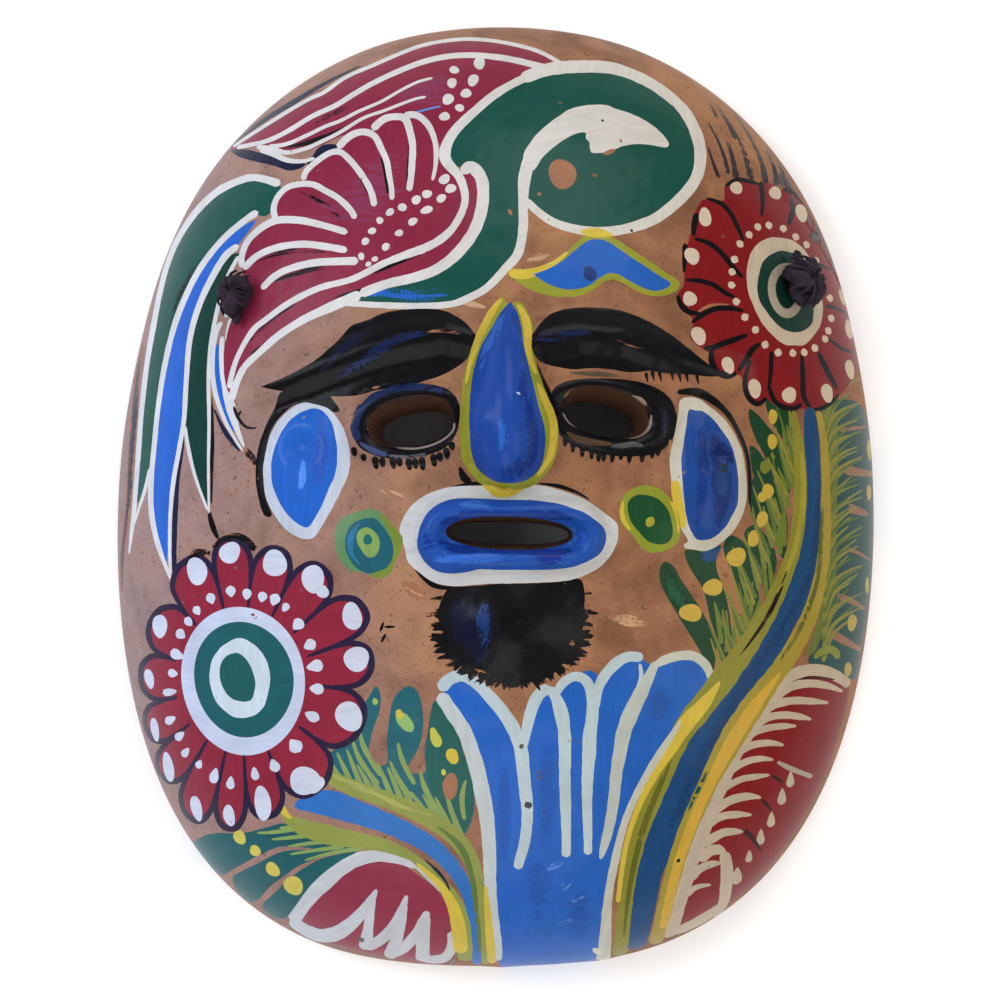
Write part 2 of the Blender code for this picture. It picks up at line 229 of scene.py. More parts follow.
def clear_view():
    """The camera, straight above the face."""
    camera = bpy.data.cameras.new("camera")
    camera.lens = CAMERA_LENS
    camera.sensor_width = CAMERA_FILM
    camera.clip_start = 0.05
    item = bpy.data.objects.new("camera", camera)
    item.location = CAMERA_PLACE
    bpy.context.scene.collection.objects.link(item)
    bpy.context.scene.camera = item


def linear(colour):
    """A colour as seen, turned into the share of light that it sends back."""
    values = np.asarray(colour[:3], float) / 255
    return tuple(np.where(values <= 0.04045, values / 12.92, ((values + 0.055) / 1.055) ** 2.4))


def full(colour):
    """A colour as seen, turned into shares of light, with full cover."""
    return (*linear(colour), 1.0)


# The form of the shell and the face

def outline_reach(angle, inset):
    """Distance from the middle to the rim at each angle, with the outline drawn in by inset."""
    sine = np.sin(angle)
    fullness = JAW_FULLNESS + (FOREHEAD_FULLNESS - JAW_FULLNESS) * (1 + sine) / 2
    across = np.abs(np.cos(angle) / (HALF_WIDTH - inset)) ** fullness
    along = np.abs(sine / (HALF_HEIGHT - inset)) ** fullness
    temple = np.exp(-(((sine - TEMPLE_SINE) / TEMPLE_SPREAD) ** 2))
    return (across + along) ** (-1 / fullness) - TEMPLE_DIP * temple


def share_out(x, y, inset=0.0):
    """How far places lie from the middle to the rim: 0 at the middle, 1 at the rim."""
    upright = x - CROWN_LEAN * y / HALF_HEIGHT
    return np.hypot(upright, y) / outline_reach(np.arctan2(y, upright), inset)


def dome_height(x, y, inset=0.0):
    """Height of the plain dome, drawn in by inset all round."""
    share = np.minimum(1.0, share_out(x, y, inset))
    return (DOME_RISE - inset) * np.sqrt(1 - share**DOME_FULLNESS)


def turned(x, y, centre, tilt):
    """Places measured from a centre, in axes turned by tilt."""
    dx, dy = x - centre[0], y - centre[1]
    return dx * math.cos(tilt) + dy * math.sin(tilt), dy * math.cos(tilt) - dx * math.sin(tilt)


def swell(distance):
    """A smooth mound: 1 at distance 0, nothing from distance 1 outwards."""
    return np.where(np.abs(distance) < 1, (1 - distance * distance) ** 2, 0.0)


def oval_distance(x, y, centre, half, tilt=0.0):
    """0 at an oval's centre, 1 on its edge."""
    across, along = turned(x, y, centre, tilt)
    return np.hypot(across / half[0], along / half[1])


def bar_distance(x, y, centre, half):
    """Distance outside a bar with round ends, negative within it."""
    over = np.maximum(np.abs(x - centre[0]) - (half[0] - half[1]), 0.0)
    return np.hypot(over, y - centre[1]) - half[1]


def route_distance(x, y, route):
    """Distance to a line of straight runs."""
    nearest = np.full(np.shape(x), np.inf)
    for (start_x, start_y), (end_x, end_y) in zip(route, route[1:]):
        run_x, run_y = end_x - start_x, end_y - start_y
        along = ((x - start_x) * run_x + (y - start_y) * run_y) / (run_x**2 + run_y**2)
        along = np.clip(along, 0.0, 1.0)
        nearest = np.minimum(nearest, np.hypot(x - start_x - along * run_x, y - start_y - along * run_y))
    return nearest


def drop_width(share):
    """Half width of a falling drop from its round foot at 0 to its point at 1, at most about 1."""
    turn = np.arccos(np.clip(2 * share - 1, -1.0, 1.0))
    return np.sin(turn) * np.sin(turn / 2) / 0.77


def nose_relief(x, y, height, half_width):
    """The nose: a drop that is highest low down and runs out between the brows."""
    width = drop_width((y - NOSE_BOTTOM_Y) / NOSE_LENGTH)
    across = np.abs(x - NOSE_TIP_X) / (half_width * np.maximum(width, 1e-9))
    return height * width * np.maximum(0.0, 1 - across * across) ** 1.1


def eye_relief(x, y, centre, tilt):
    """The hollow of the socket and the raised lids round the opening."""
    socket = SOCKET_DEPTH * swell(oval_distance(x, y, centre, SOCKET_HALF, tilt))
    edge = (oval_distance(x, y, centre, EYE_HALF, tilt) - 1) * EYE_HALF[1]
    return LID_HEIGHT * swell((edge - LID_CREST) / LID_SPREAD) - socket


def ear_relief(x, y, centre, half):
    """A raised oval pad with a dent above its middle and a knob just below it."""
    dent_centre = (centre[0], centre[1] + EAR_DENT_RISE)
    knob_centre = (centre[0], centre[1] - EAR_KNOB_DROP)
    pad = EAR_HEIGHT * swell(oval_distance(x, y, centre, half) ** 2)
    dent = EAR_DENT_DEPTH * swell(oval_distance(x, y, dent_centre, EAR_DENT_HALF))
    return pad - dent + EAR_KNOB_HEIGHT * swell(oval_distance(x, y, knob_centre, EAR_KNOB_HALF))


def hand_wobble(x, y, span, seed):
    """Slow waves between -1 and 1, as from a hand's pressing and smoothing."""
    total = np.zeros(np.shape(x))
    for turn in range(5):
        angle = 2.4 * turn + seed
        pace = (1 + 0.37 * turn) * 2 * math.pi / span
        total += np.sin((x * math.cos(angle) + y * math.sin(angle)) * pace + 1.7 * turn * seed)
    return total / 5


def face_height(x, y):
    """Height of the mask's face, with the features that stand out of the dome."""
    lips = (bar_distance(x, y, LIPS_CENTRE, LIPS_HALF) + LIPS_CREST) / LIPS_SPREAD
    height = dome_height(x, y)
    height = height + nose_relief(x, y, NOSE_HEIGHT, NOSE_HALF_WIDTH)
    height = height + LIPS_HEIGHT * swell(lips)
    height = height + eye_relief(x, y, LEFT_EYE_CENTRE, LEFT_EYE_TILT)
    height = height + eye_relief(x, y, RIGHT_EYE_CENTRE, RIGHT_EYE_TILT)
    height = height + BROW_HEIGHT * swell(route_distance(x, y, LEFT_BROW) / BROW_HALF_WIDTH)
    height = height + BROW_HEIGHT * swell(route_distance(x, y, RIGHT_BROW) / BROW_HALF_WIDTH)
    height = height + ear_relief(x, y, LEFT_EAR_CENTRE, LEFT_EAR_HALF)
    height = height + ear_relief(x, y, RIGHT_EAR_CENTRE, RIGHT_EAR_HALF)
    height = height + CHIN_HEIGHT * swell(oval_distance(x, y, CHIN_CENTRE, CHIN_HALF))
    height = height + CHEEK_HEIGHT * swell(oval_distance(x, y, LEFT_CHEEK_CENTRE, CHEEK_HALF))
    height = height + CHEEK_HEIGHT * swell(oval_distance(x, y, RIGHT_CHEEK_CENTRE, CHEEK_HALF))
    calm = np.clip(height / 20, 0.0, 1.0)
    slow = SLOW_WAVE * hand_wobble(x, y, SLOW_SPAN, 1.3)
    return height + calm * (slow + QUICK_WAVE * hand_wobble(x, y, QUICK_SPAN, 2.1))


def hollow_height(x, y):
    """Height of the hollow behind the face, deeper behind the nose."""
    return dome_height(x, y, WALL) + nose_relief(x, y, NOSE_HOLLOW, NOSE_HALF_WIDTH)


# The face rolled out flat, so that its steep sides are divided as finely as its front

def to_flat(x, y, inset=0.0):
    """Where places on the shell lie when its sides are rolled out flat."""
    upright = x - CROWN_LEAN * y / HALF_HEIGHT
    share = share_out(x, y, inset)
    side = np.arcsin(np.minimum(share, 1.0)) + np.maximum(share - 1.0, 0.0) * 8
    scale = np.where(share > 1e-6, side / np.maximum(share, 1e-6), 1.0)
    return np.stack([upright * scale, y * scale], axis=-1)


def from_flat(flat, inset=0.0):
    """The places seen from above that belong to rolled-out ones."""
    angle = np.arctan2(flat[..., 1], flat[..., 0])
    reach = outline_reach(angle, inset)
    share = np.sin(np.minimum(np.hypot(flat[..., 0], flat[..., 1]) / reach, math.pi / 2))
    y = share * reach * np.sin(angle)
    return share * reach * np.cos(angle) + CROWN_LEAN * y / HALF_HEIGHT, y


def rim_line(inset, step):
    """The rolled-out rim, as points in even turns."""
    count = round(2 * math.pi * (HALF_WIDTH + HALF_HEIGHT) / 2 / step)
    angle = np.arange(count) * 2 * math.pi / count
    reach = outline_reach(angle, inset) * math.pi / 2
    return np.stack([reach * np.cos(angle), reach * np.sin(angle)], axis=-1)


def goes_round(line, places):
    """Which places a closed line goes round, however often it crosses itself."""
    turns = np.zeros(len(places), int)
    px, py = places[:, 0], places[:, 1]
    for (start_x, start_y), (end_x, end_y) in zip(line, np.roll(line, -1, axis=0)):
        side = (end_x - start_x) * (py - start_y) - (end_y - start_y) * (px - start_x)
        turns += ((start_y <= py) & (end_y > py) & (side > 0)).astype(int)
        turns -= ((start_y > py) & (end_y <= py) & (side < 0)).astype(int)
    return turns != 0


def even_line(points, step, closed):
    """Points in even steps along a line of straight runs."""
    points = np.asarray(points, float)
    if closed:
        points = np.vstack([points, points[:1]])
    lengths = np.hypot(*np.diff(points, axis=0).T)
    passed = np.concatenate([[0.0], np.cumsum(lengths)])
    count = max(3 if closed else 1, int(math.ceil(passed[-1] / step)))
    wanted = np.linspace(0.0, passed[-1], count + 1)
    even = np.stack([np.interp(wanted, passed, places) for places in points.T], axis=-1)
    return even[:-1] if closed else even


def smooth_run(points):
    """A smooth open curve through points, in short steps."""
    points = np.asarray(points, float)
    if len(points) < 3:
        return points
    lengths = np.maximum(np.hypot(*np.diff(points, axis=0).T), 1e-6)
    paces = np.empty_like(points)
    paces[1:-1] = (points[2:] - points[:-2]) / (lengths[1:] + lengths[:-1])[:, None]
    paces[0] = 1.5 * (points[1] - points[0]) / lengths[0] - 0.5 * paces[1]
    paces[-1] = 1.5 * (points[-1] - points[-2]) / lengths[-1] - 0.5 * paces[-2]
    runs = [points[:1]]
    for start, end, pace, next_pace, length in zip(points, points[1:], paces, paces[1:], lengths):
        t = np.linspace(0, 1, max(2, int(length / 0.4)) + 1)[1:, None]
        runs.append(
            (2 * t**3 - 3 * t**2 + 1) * start
            + (t**3 - 2 * t**2 + t) * pace * length
            + (3 * t**2 - 2 * t**3) * end
            + (t**3 - t**2) * next_pace * length
        )
    return np.vstack(runs)


def smooth_loop(points):
    """A smooth closed curve through points. A point given twice is a corner."""
    points = [tuple(point) for point in points]
    corners = [at for at, point in enumerate(points) if point == points[at - 1]]
    if not corners:
        wrapped = smooth_run(points[-3:] + points + points[:3])
        first = np.argmin(np.hypot(*(wrapped - points[0]).T))
        last = len(wrapped) - 1 - np.argmin(np.hypot(*(wrapped[::-1] - points[0]).T))
        return wrapped[first:last]
    points = points[corners[0]:] + points[: corners[0]]
    runs, run = [], [points[0]]
    for point in points[1:]:
        if point == run[-1]:
            runs.append(run)
            run = [point]
        else:
            run.append(point)
    runs.append(run)
    return np.vstack([smooth_run(run)[:-1] if len(run) > 2 else np.asarray(run) for run in runs])


# The paint, kept as a list of outlines with a colour each, later ones on top

PAINT = []


def lay_down(colour, outline, dry, lead):
    """Keep one painted shape: its outline, colour, how dry the brush was, and which way it was drawn."""
    outline = np.asarray(outline, float)
    wobble = PATCH_SHAKE * hand_wobble(outline[:, 0], outline[:, 1], 5.0, 0.7 + 0.31 * len(PAINT))
    centre = outline.mean(axis=0)
    away = outline - centre
    away /= np.maximum(np.hypot(*away.T), 1e-6)[:, None]
    PAINT.append((linear(colour), outline + away * wobble[:, None], dry, lead))


def patch(colour, *points, dry=0.0, lead=None):
    """A filled shape with a smooth edge through the points. A point given twice is a corner."""
    outline = smooth_loop(points)
    if lead is None:
        spans = np.ptp(outline, axis=0)
        lead = 0.0 if spans[0] > spans[1] else math.pi / 2
    lay_down(colour, outline, dry, lead)


def line(colour, width, *points, dry=0.0, blunt=True):
    """A brush stroke along the points, with one width, or one for each end, or one for each point."""
    centre = even_line(smooth_run(points), 0.5, False)
    passed = np.concatenate([[0.0], np.cumsum(np.hypot(*np.diff(centre, axis=0).T))])
    widths = np.atleast_1d(np.asarray(width, float))
    if len(widths) == len(points) and len(points) > 2:
        knots = [np.argmin(np.hypot(*(centre - point).T)) for point in points]
        half = np.interp(passed, passed[knots], widths) / 2
    else:
        half = np.interp(passed, [0, passed[-1]], [widths[0], widths[-1]]) / 2
    half = half * (1 + STROKE_SHAKE * hand_wobble(centre[:, 0], centre[:, 1], 6.0, 0.5 + len(PAINT)))
    if blunt:
        from_end = np.minimum(passed, passed[-1] - passed)
        short = np.clip(1 - from_end / np.maximum(half, 0.1), 0.0, 1.0)
        half = half * np.sqrt(1 - short**2)
    run = np.gradient(centre, axis=0)
    run /= np.maximum(np.hypot(*run.T), 1e-9)[:, None]
    side = np.stack([-run[:, 1], run[:, 0]], axis=-1) * half[:, None]
    outline = np.vstack([centre + side, (centre - side)[::-1]])
    span = centre[-1] - centre[0]
    PAINT.append((linear(colour), outline, dry, math.atan2(span[1], span[0])))


def dot(colour, x, y, half_x, half_y=None, tilt=0.0, dry=0.0):
    """A round or oval touch of paint, a little uneven."""
    half_y = half_x if half_y is None else half_y
    turn = np.arange(0, 2 * math.pi, 2 * math.pi / max(8, int(2 * math.pi * max(half_x, half_y) / 0.7)))
    rough = min(1.0, 2.5 / half_y)
    uneven = 1 + rough * (0.07 * np.sin(2 * turn + x) + 0.05 * np.sin(3 * turn + y))
    across, along = half_x * np.cos(turn) * uneven, half_y * np.sin(turn) * uneven
    lean = math.radians(tilt)
    cosine, sine = math.cos(lean), math.sin(lean)
    outline = np.stack([x + across * cosine - along * sine, y + across * sine + along * cosine], axis=-1)
    PAINT.append((linear(colour), outline, dry, lean))


def dots(colour, tilt, *places, dry=0.0):
    """Touches of one colour, each given by its middle and its half sizes."""
    for x, y, across, along in places:
        dot(colour, x, y, across, along, tilt, dry)


def strokes(colour, width, *routes, dry=0.0):
    """Brush strokes of one colour and width, each given by its points."""
    for route in routes:
        line(colour, width, *route, dry=dry)


def paint_wing():
    """The red wing over the left brow, with its white lines."""
    line(
        NAVY, (0.5, 1.6, 1.7, 1.2, 0.4), (-66.8, 86.2), (-57.8, 92.4), (-50, 96.6), (-43, 100.7),
        (-33, 105.6), dry=0.12,
    )
    patch(
        NAVY, (-65.5, 85.6), (-61, 84.9), (-57, 83.4), (-52.5, 81.8), (-46.5, 80), (-42, 79.6), (-38, 84),
        (-42, 84.2), (-46, 79.2), (-49.5, 78.3), (-54, 79.9), (-58, 81.2), (-63, 83.2), dry=0.12,
    )
    patch(
        BERRY, (-66, 86), (-60, 89), (-54, 92.3), (-45, 97.2), (-37, 102.1), (-29.9, 105.3), (-23.8, 108.1),
        (-13.8, 111.3), (-4, 111.8), (5.9, 109.8), (15, 105.8), (21, 104.8), (10, 101.9), (5, 99.8),
        (0, 96.6), (-4, 93.1), (-7.2, 89.9), (-10.4, 86.2), (-12.5, 82), (-14.5, 86), (-17.6, 90.3),
        (-22, 91), (-27, 90), (-31, 87.5), (-37, 86.5), (-43, 84), (-50, 83), (-56, 85),
    )
    patch(PLUM, (-26, 98), (-20, 101), (-11.5, 103), (-9.5, 98), (-12, 93.5), (-19, 93), (-25, 94), dry=0.38)
    line(BLACK, (0.3, 1.6, 0.3), (-50, 87), (-41, 91.5), (-30, 97), dry=0.45)
    line(BLACK, (0.3, 1.5, 0.3), (-52, 84.3), (-44, 85.6), (-36, 89.2), dry=0.45)
    line(
        WHITE, 1.15, (-65.2, 86.6), (-60, 89.2), (-54, 92.5), (-49.6, 95), (-45, 97.4), (-42, 98.6),
        (-37, 102.3), (-29.9, 105.5), (-23.8, 108.3), (-18.8, 110.4), (-13.8, 111.6), (-8.1, 112.2),
        (-4, 112), (0.1, 111.4), (5.9, 110), (10.8, 108.2), (15.8, 105),
    )
    line(
        WHITE, (1.2, 1.8), (-64, 86), (-58.5, 86.2), (-55, 86.8), (-50.7, 88.6), (-44.5, 92.2),
        (-38.6, 94.8), (-34.7, 97.3), (-29.7, 100.3), (-23.6, 103.3), (-17.9, 105.6), (-12.1, 107),
        (-6.4, 107.3), (0, 106.7), (5.1, 105.7), (10.1, 104.3), (14.2, 103.4),
    )
    line(
        WHITE, (1.1, 0.7), (-55.5, 85), (-50.5, 85.3), (-45.6, 87.2), (-41, 89.3), (-37.7, 90.4),
        (-33, 92.8), (-27.7, 95.1), (-22.9, 98), (-18.8, 100.1), (-15.1, 101.1),
    )
    line(
        WHITE, (1.2, 0.7), (-58.5, 85.3), (-54, 84.3), (-50.8, 83), (-46, 83.7), (-42, 85.3), (-37.8, 87.3),
        (-31.7, 91), (-26.8, 92.7), (-22.7, 94.3), (-19.1, 95.6), (-16.7, 96),
    )
    line(WHITE, (1.8, 0.8), (-57.5, 84.8), (-53.5, 82.7), (-50.3, 81), (-46.4, 80.5), (-43.3, 81.2))
    line(SKY, 0.5, (-20.2, 91.7), (-17, 92.6), (-14.5, 93.2), (-13, 93.4), dry=0.2)
    dots(
        WHITE, -12, (-10.1, 103.2, 1.2, 1.1), (-10.6, 99.6, 1.1, 1.5), (-11.5, 95.3, 1.3, 1.6),
        (-12.3, 90.8, 1.3, 1.2), (-4, 105, 1.3, 1.9), (-5.5, 100.3, 1.2, 1.8), (-7.2, 96.8, 1.4, 1.2),
        (-8.7, 93, 1.2, 1.0),
    )


def paint_tail():
    """The long green and blue feathers down the left edge."""
    line(
        NAVY, (0.6, 1.6, 2.2, 2.0, 1.6, 1.8, 1.6, 1.0), (-87.2, 38), (-88.4, 30), (-88.9, 20), (-89.5, 8),
        (-90.2, -2), (-91, -8), (-92.2, -16), (-92.4, -24), dry=0.25,
    )
    patch(
        GREEN, (-51.5, 74.2), (-55, 75.6), (-58, 76.6), (-62, 76.6), (-66, 75), (-70, 72.5), (-74, 69),
        (-77, 65), (-79.6, 60), (-81.6, 55), (-82.8, 49), (-84, 43), (-85.1, 36), (-86, 30), (-86.6, 22),
        (-87.2, 12), (-87.7, 5), (-88, -2), (-86, 0), (-84.2, 5), (-83.2, 9), (-82.5, 16), (-81.5, 24),
        (-80.6, 30), (-79.4, 36), (-77.9, 42), (-75, 48.5), (-72.5, 53.5), (-70, 57), (-66, 61.5), (-62, 65),
        (-57.5, 67.6), (-55.5, 67), (-53.4, 68.5), (-53, 71.5),
    )
    line(BLACK, (0.3, 1.6, 0.3), (-71.5, 57.5), (-76.2, 50), (-79.6, 41), dry=0.45)
    patch(
        BLUE, (-57.3, 66.2), (-57.3, 66.2), (-60, 65.4), (-64, 62.5), (-68, 58.5), (-71.5, 54), (-74.5, 48),
        (-77.4, 41), (-79, 34), (-80.4, 27), (-81.4, 20), (-82.2, 12), (-83, 5), (-83.3, 0), (-82.8, -5),
        (-81.8, -9.5), (-80.5, -13), (-79.3, -16), (-78.8, -12), (-78.3, -8), (-77.9, -3), (-77.4, 3),
        (-76.2, 10), (-75, 17), (-74.5, 24), (-74.2, 31), (-73.5, 38), (-72.2, 44), (-70.5, 49), (-68, 53.5),
        (-65.5, 56.8), (-62.3, 59.9), (-60.5, 62),
    )
    patch(
        DEEP_GREEN, (-61.5, 58.3), (-63.5, 58), (-66, 55.8), (-68.4, 52), (-70.5, 48), (-72.4, 43),
        (-73.7, 37), (-74.2, 30), (-74.6, 22), (-74.2, 15), (-73.4, 11), (-72, 6), (-70, 0.5), (-68.2, -3.5),
        (-68.4, 3), (-68.4, 11), (-68.4, 20), (-68.6, 28), (-68.3, 35), (-67.5, 40), (-66, 46), (-64.2, 52),
        (-62.2, 56),
    )
    line(
        NAVY, (0.4, 1.0, 1.4, 1.6, 1.8, 1.8, 1.2), (-74.6, 15.6), (-75.4, 10), (-76.4, 4.5), (-76.9, -2),
        (-77.3, -9), (-77.4, -15.5), (-76.4, -20.5), dry=0.1,
    )
    line(BLACK, (0.4, 1.2, 0.4), (-67.6, 24), (-67.5, 12), (-67.6, -2), dry=0.3)
    line(BLACK, (0.8, 1.3, 1.5, 0.8), (-68.2, -3.5), (-67.8, -5.3), (-67, -7.8), (-65.8, -10.2), dry=0.12)
    line(
        WHITE, (2.0, 1.8, 1.9, 2.2, 2.2, 2.2, 2.0, 1.9, 1.8, 1.7, 1.6, 1.5, 1.5, 1.4, 1.3, 1.2, 0.5),
        (-51.7, 74.9), (-57.6, 77), (-61, 77), (-68, 74.5), (-74, 69.6), (-78.8, 63), (-81.2, 57),
        (-82.8, 50), (-84.1, 42), (-85.2, 35), (-86, 28), (-86.7, 20), (-87.2, 11), (-87.8, 3),
        (-88.4, -4.2), (-89, -8.3), (-89.9, -14.2),
    )
    line(WHITE, (1.3, 1.0, 0.8, 0.4), (-83.6, 7), (-85.2, 1.6), (-86.9, -3), (-88.3, -7))
    line(
        WHITE, (1.8, 1.7, 1.6, 1.7, 1.7, 1.6, 1.5, 1.4, 1.4, 1.5, 1.5, 1.4, 0.8), (-57, 68.3), (-60, 66.6),
        (-65.8, 62), (-71.2, 55.6), (-75.6, 47.5), (-78.4, 39.9), (-80.5, 30.7), (-81.8, 21.8),
        (-82.7, 12.6), (-83.5, 3), (-83.3, -4), (-81.6, -11.3), (-78, -20),
    )
    line(
        WHITE, (1.6, 1.8, 1.7, 1.6, 1.5, 1.3, 1.2, 1.2, 1.2, 1.0, 0.8), (-61.6, 60.2), (-64.8, 58),
        (-68.3, 52.6), (-71.7, 45.3), (-73.7, 37.5), (-74.4, 27), (-74.8, 18.6), (-75.9, 11.7), (-77.5, 3),
        (-78.3, -7), (-78.2, -19),
    )
    line(WHITE, (1.0, 1.0, 0.8, 0.6), (-74.6, 17), (-73.6, 11.6), (-71.7, 4.6), (-68.4, -3.5))
    line(
        WHITE, (1.0, 1.0, 1.1, 1.1, 1.0, 0.9, 0.7, 0.5), (-61.6, 57.6), (-64.6, 51.8), (-66.7, 44.5),
        (-68.2, 36), (-68.6, 28), (-68.3, 17), (-68.4, 7), (-68.2, -4.2),
    )
    patch(
        BLUE, (-66.9, 36), (-65.5, 36), (-65.3, 30), (-64.6, 25), (-63.6, 21), (-62, 17), (-61, 14.8),
        (-62.8, 16.2), (-64.6, 19.7), (-66, 23.5), (-66.9, 28),
    )
    line(NAVY, (0.4, 1.2, 1.0), (-67.2, 21), (-64, 15), (-60.2, 10.7), dry=0.12)
    line(
        WHITE, (1.2, 1.4, 1.2, 1.2, 1.0, 0.7, 0.5), (-65.4, 41.7), (-67, 39), (-67.7, 32), (-66.9, 25),
        (-64.4, 18.2), (-61.3, 12.8), (-59.7, 10.6),
    )
    line(
        WHITE, (1.2, 1.1, 1.6, 2.6, 1.4, 0.5), (-65.2, 38.3), (-65.4, 32), (-64.3, 25.6), (-63, 21.4),
        (-61.4, 16.2), (-59.4, 11.4),
    )
    line(WHITE, 1.5, (-63, 42.6), (-63.6, 39.4), (-63.9, 36.8))
    line(WHITE, (0.8, 1.6), (-65, 48), (-64.8, 45.5), (-64.1, 42.6))
    line(BLACK, (0.6, 0.9, 0.7, 0.4), (-62.2, 21.5), (-61, 18.6), (-59, 16.4), (-56.3, 16.2), dry=0.2)
    line(BLACK, 0.6, (-60.2, 20.4), (-61.2, 18.9), dry=0.2)
    line(BLACK, (1.2, 2.0, 1.0), (-59.4, 11.4), (-57.8, 9.3), (-56.4, 7.2), dry=0.3)


def paint_fan():
    """The red fan of feathers, and the bands that sweep down from it."""
    patch(
        BERRY, (-60.6, 54), (-60.8, 57.5), (-58.5, 62.3), (-55, 65.4), (-52.7, 67), (-52.8, 71), (-50.5, 74),
        (-46, 75.5), (-45.3, 79), (-41, 82), (-37.8, 83.3), (-35, 86.6), (-31.4, 87.3), (-28.3, 89.3),
        (-24, 91), (-21, 91.4), (-17.6, 90.3), (-14.5, 84.4), (-12.6, 80), (-8.2, 76.6), (-5, 77.8),
        (-3.2, 72.5), (-4.5, 64), (-8.5, 58), (-14.3, 53), (-19.4, 51), (-25.6, 49.7), (-31.5, 47.5),
        (-36.5, 45.5), (-41.2, 43.5), (-45, 41.8), (-49.5, 39.2), (-52.7, 36.9), (-56, 34), (-59.4, 30.9),
        (-61.2, 27.7), (-62.9, 24), (-64.3, 27), (-64.8, 33), (-64.2, 38), (-63, 42), (-61, 46), (-59.5, 50),
    )
    patch(
        PLUM, (-50, 64), (-40, 63), (-30, 62), (-24, 66), (-19, 76), (-24, 84), (-33, 80), (-42, 72),
        dry=0.45,
    )
    for start, middle, end, width in (
        ((-58.5, 55.5), (-50, 58.2), (-40, 57.6), 1.8), ((-53.5, 50.5), (-46, 53.2), (-36, 54.2), 1.6),
        ((-47, 73), (-41, 69.5), (-36, 65), 1.3), ((-34.5, 79.5), (-31.5, 75), (-30, 70.5), 1.3),
        ((-27.5, 81), (-25.8, 75), (-25.7, 71), 1.2), ((-20.8, 86), (-20.6, 80), (-21.2, 74), 1.2),
        ((-60.5, 34), (-55.5, 40), (-47, 45.6), 1.3), ((-61, 29.5), (-57, 34), (-50, 38.8), 1.6),
        ((-44, 42.5), (-37, 46.5), (-28, 49.5), 1.5), ((-40, 48.8), (-28, 53), (-17, 57), 1.2),
    ):
        line(BLACK, (0.3, width, 0.3), start, middle, end, dry=0.5)
    line(
        WHITE, (1.6, 1.6, 1.8, 1.8, 1.6, 1.5, 1.5), (-35, 62.3), (-41.2, 64.3), (-47.5, 65.8), (-53.5, 65.6),
        (-59, 61.7), (-60.8, 57.5), (-60.6, 54.6),
    )
    line(
        WHITE, 1.7, (-60.3, 54.2), (-57.5, 57), (-54.5, 58.5), (-50.4, 59.5), (-45.6, 59.8), (-41, 59.2),
        (-35, 58),
    )
    line(
        WHITE, (1.6, 1.9, 1.9), (-55.7, 49.2), (-52.4, 52.3), (-48.7, 54), (-43, 55.2), (-36.8, 55.4),
        (-32.3, 55.4),
    )
    line(
        WHITE, 1.5, (-52.5, 66), (-53.2, 68.7), (-52.4, 71.6), (-50, 74), (-46.7, 74.7), (-43.5, 74.4),
        (-40.7, 72.8), (-37.7, 71), (-34.5, 67.9), (-33.2, 65.5),
    )
    line(
        WHITE, 1.5, (-46, 75.5), (-45.6, 77.6), (-43, 80.2), (-39.7, 82.3), (-37.3, 82.4), (-34.8, 80.2),
        (-32.3, 77), (-30.1, 73.4), (-29.1, 70.6), (-28.8, 68.4),
    )
    line(
        WHITE, (1.9, 1.2), (-37.8, 83.3), (-36.2, 85.4), (-33.8, 87), (-31.4, 87.3), (-29, 86.1),
        (-27.3, 82.8), (-26, 79.8), (-25.3, 76.1), (-24.7, 72.7), (-24.6, 69.9),
    )
    line(
        WHITE, (1.9, 1.5), (-29.5, 87.6), (-28.3, 89.3), (-26.3, 90.7), (-23.8, 91), (-21.8, 90.5),
        (-20.5, 87), (-19.8, 83.3), (-19.9, 79.2), (-20.1, 75.6), (-20.6, 72),
    )
    line(
        WHITE, (1.9, 0.8), (-22.2, 91.1), (-19.7, 91.4), (-17.6, 90.3), (-15.8, 88), (-14.5, 84.4),
        (-14.2, 81.1), (-14.4, 77.7), (-15.1, 74.5),
    )
    line(
        WHITE, (2.2, 1.6, 1.5, 1.5, 1.6, 1.5, 1.4, 1.4, 1.2, 1.4), (-16.2, 58.4), (-25.7, 55), (-33.5, 51.2),
        (-41, 49.3), (-45, 47.7), (-49.7, 45.2), (-54.3, 42), (-57.6, 39.4), (-61.6, 32.5), (-63.4, 25.5),
    )
    line(
        WHITE, (2.4, 2.4, 2.2, 1.9, 1.8, 1.7, 1.6, 1.6, 1.6, 2.0), (-31.5, 47.5), (-36.5, 45.5),
        (-41.2, 43.5), (-45, 41.8), (-49.5, 39.2), (-52.7, 36.9), (-56, 34), (-59.4, 30.9), (-61.2, 27.7),
        (-63, 22.5),
    )
    dots(
        WHITE, 25, (-12.2, 75, 1.4, 1.2), (-10.7, 72.7, 1.3, 1.2), (-12.9, 70.3, 1.3, 1),
        (-16.3, 71.4, 1.2, 1.1), (-18.8, 70, 1.2, 1.1), (-16.3, 67.5, 1.5, 1), (-22.1, 68.2, 1.1, 1.1),
        (-25, 67.1, 1.1, 0.9), (-19.6, 64.7, 1.3, 0.9), (-27.4, 65.1, 0.9, 0.9), (-22.8, 62, 1, 0.9),
        (-29.2, 62.6, 1, 0.9), (-25.9, 58.7, 1.1, 0.9), (-30.8, 60.1, 1, 1), (-31.7, 56.5, 0.8, 1),
        (-28.5, 55.8, 0.9, 0.7), (-30, 54.6, 0.8, 0.7),
    )


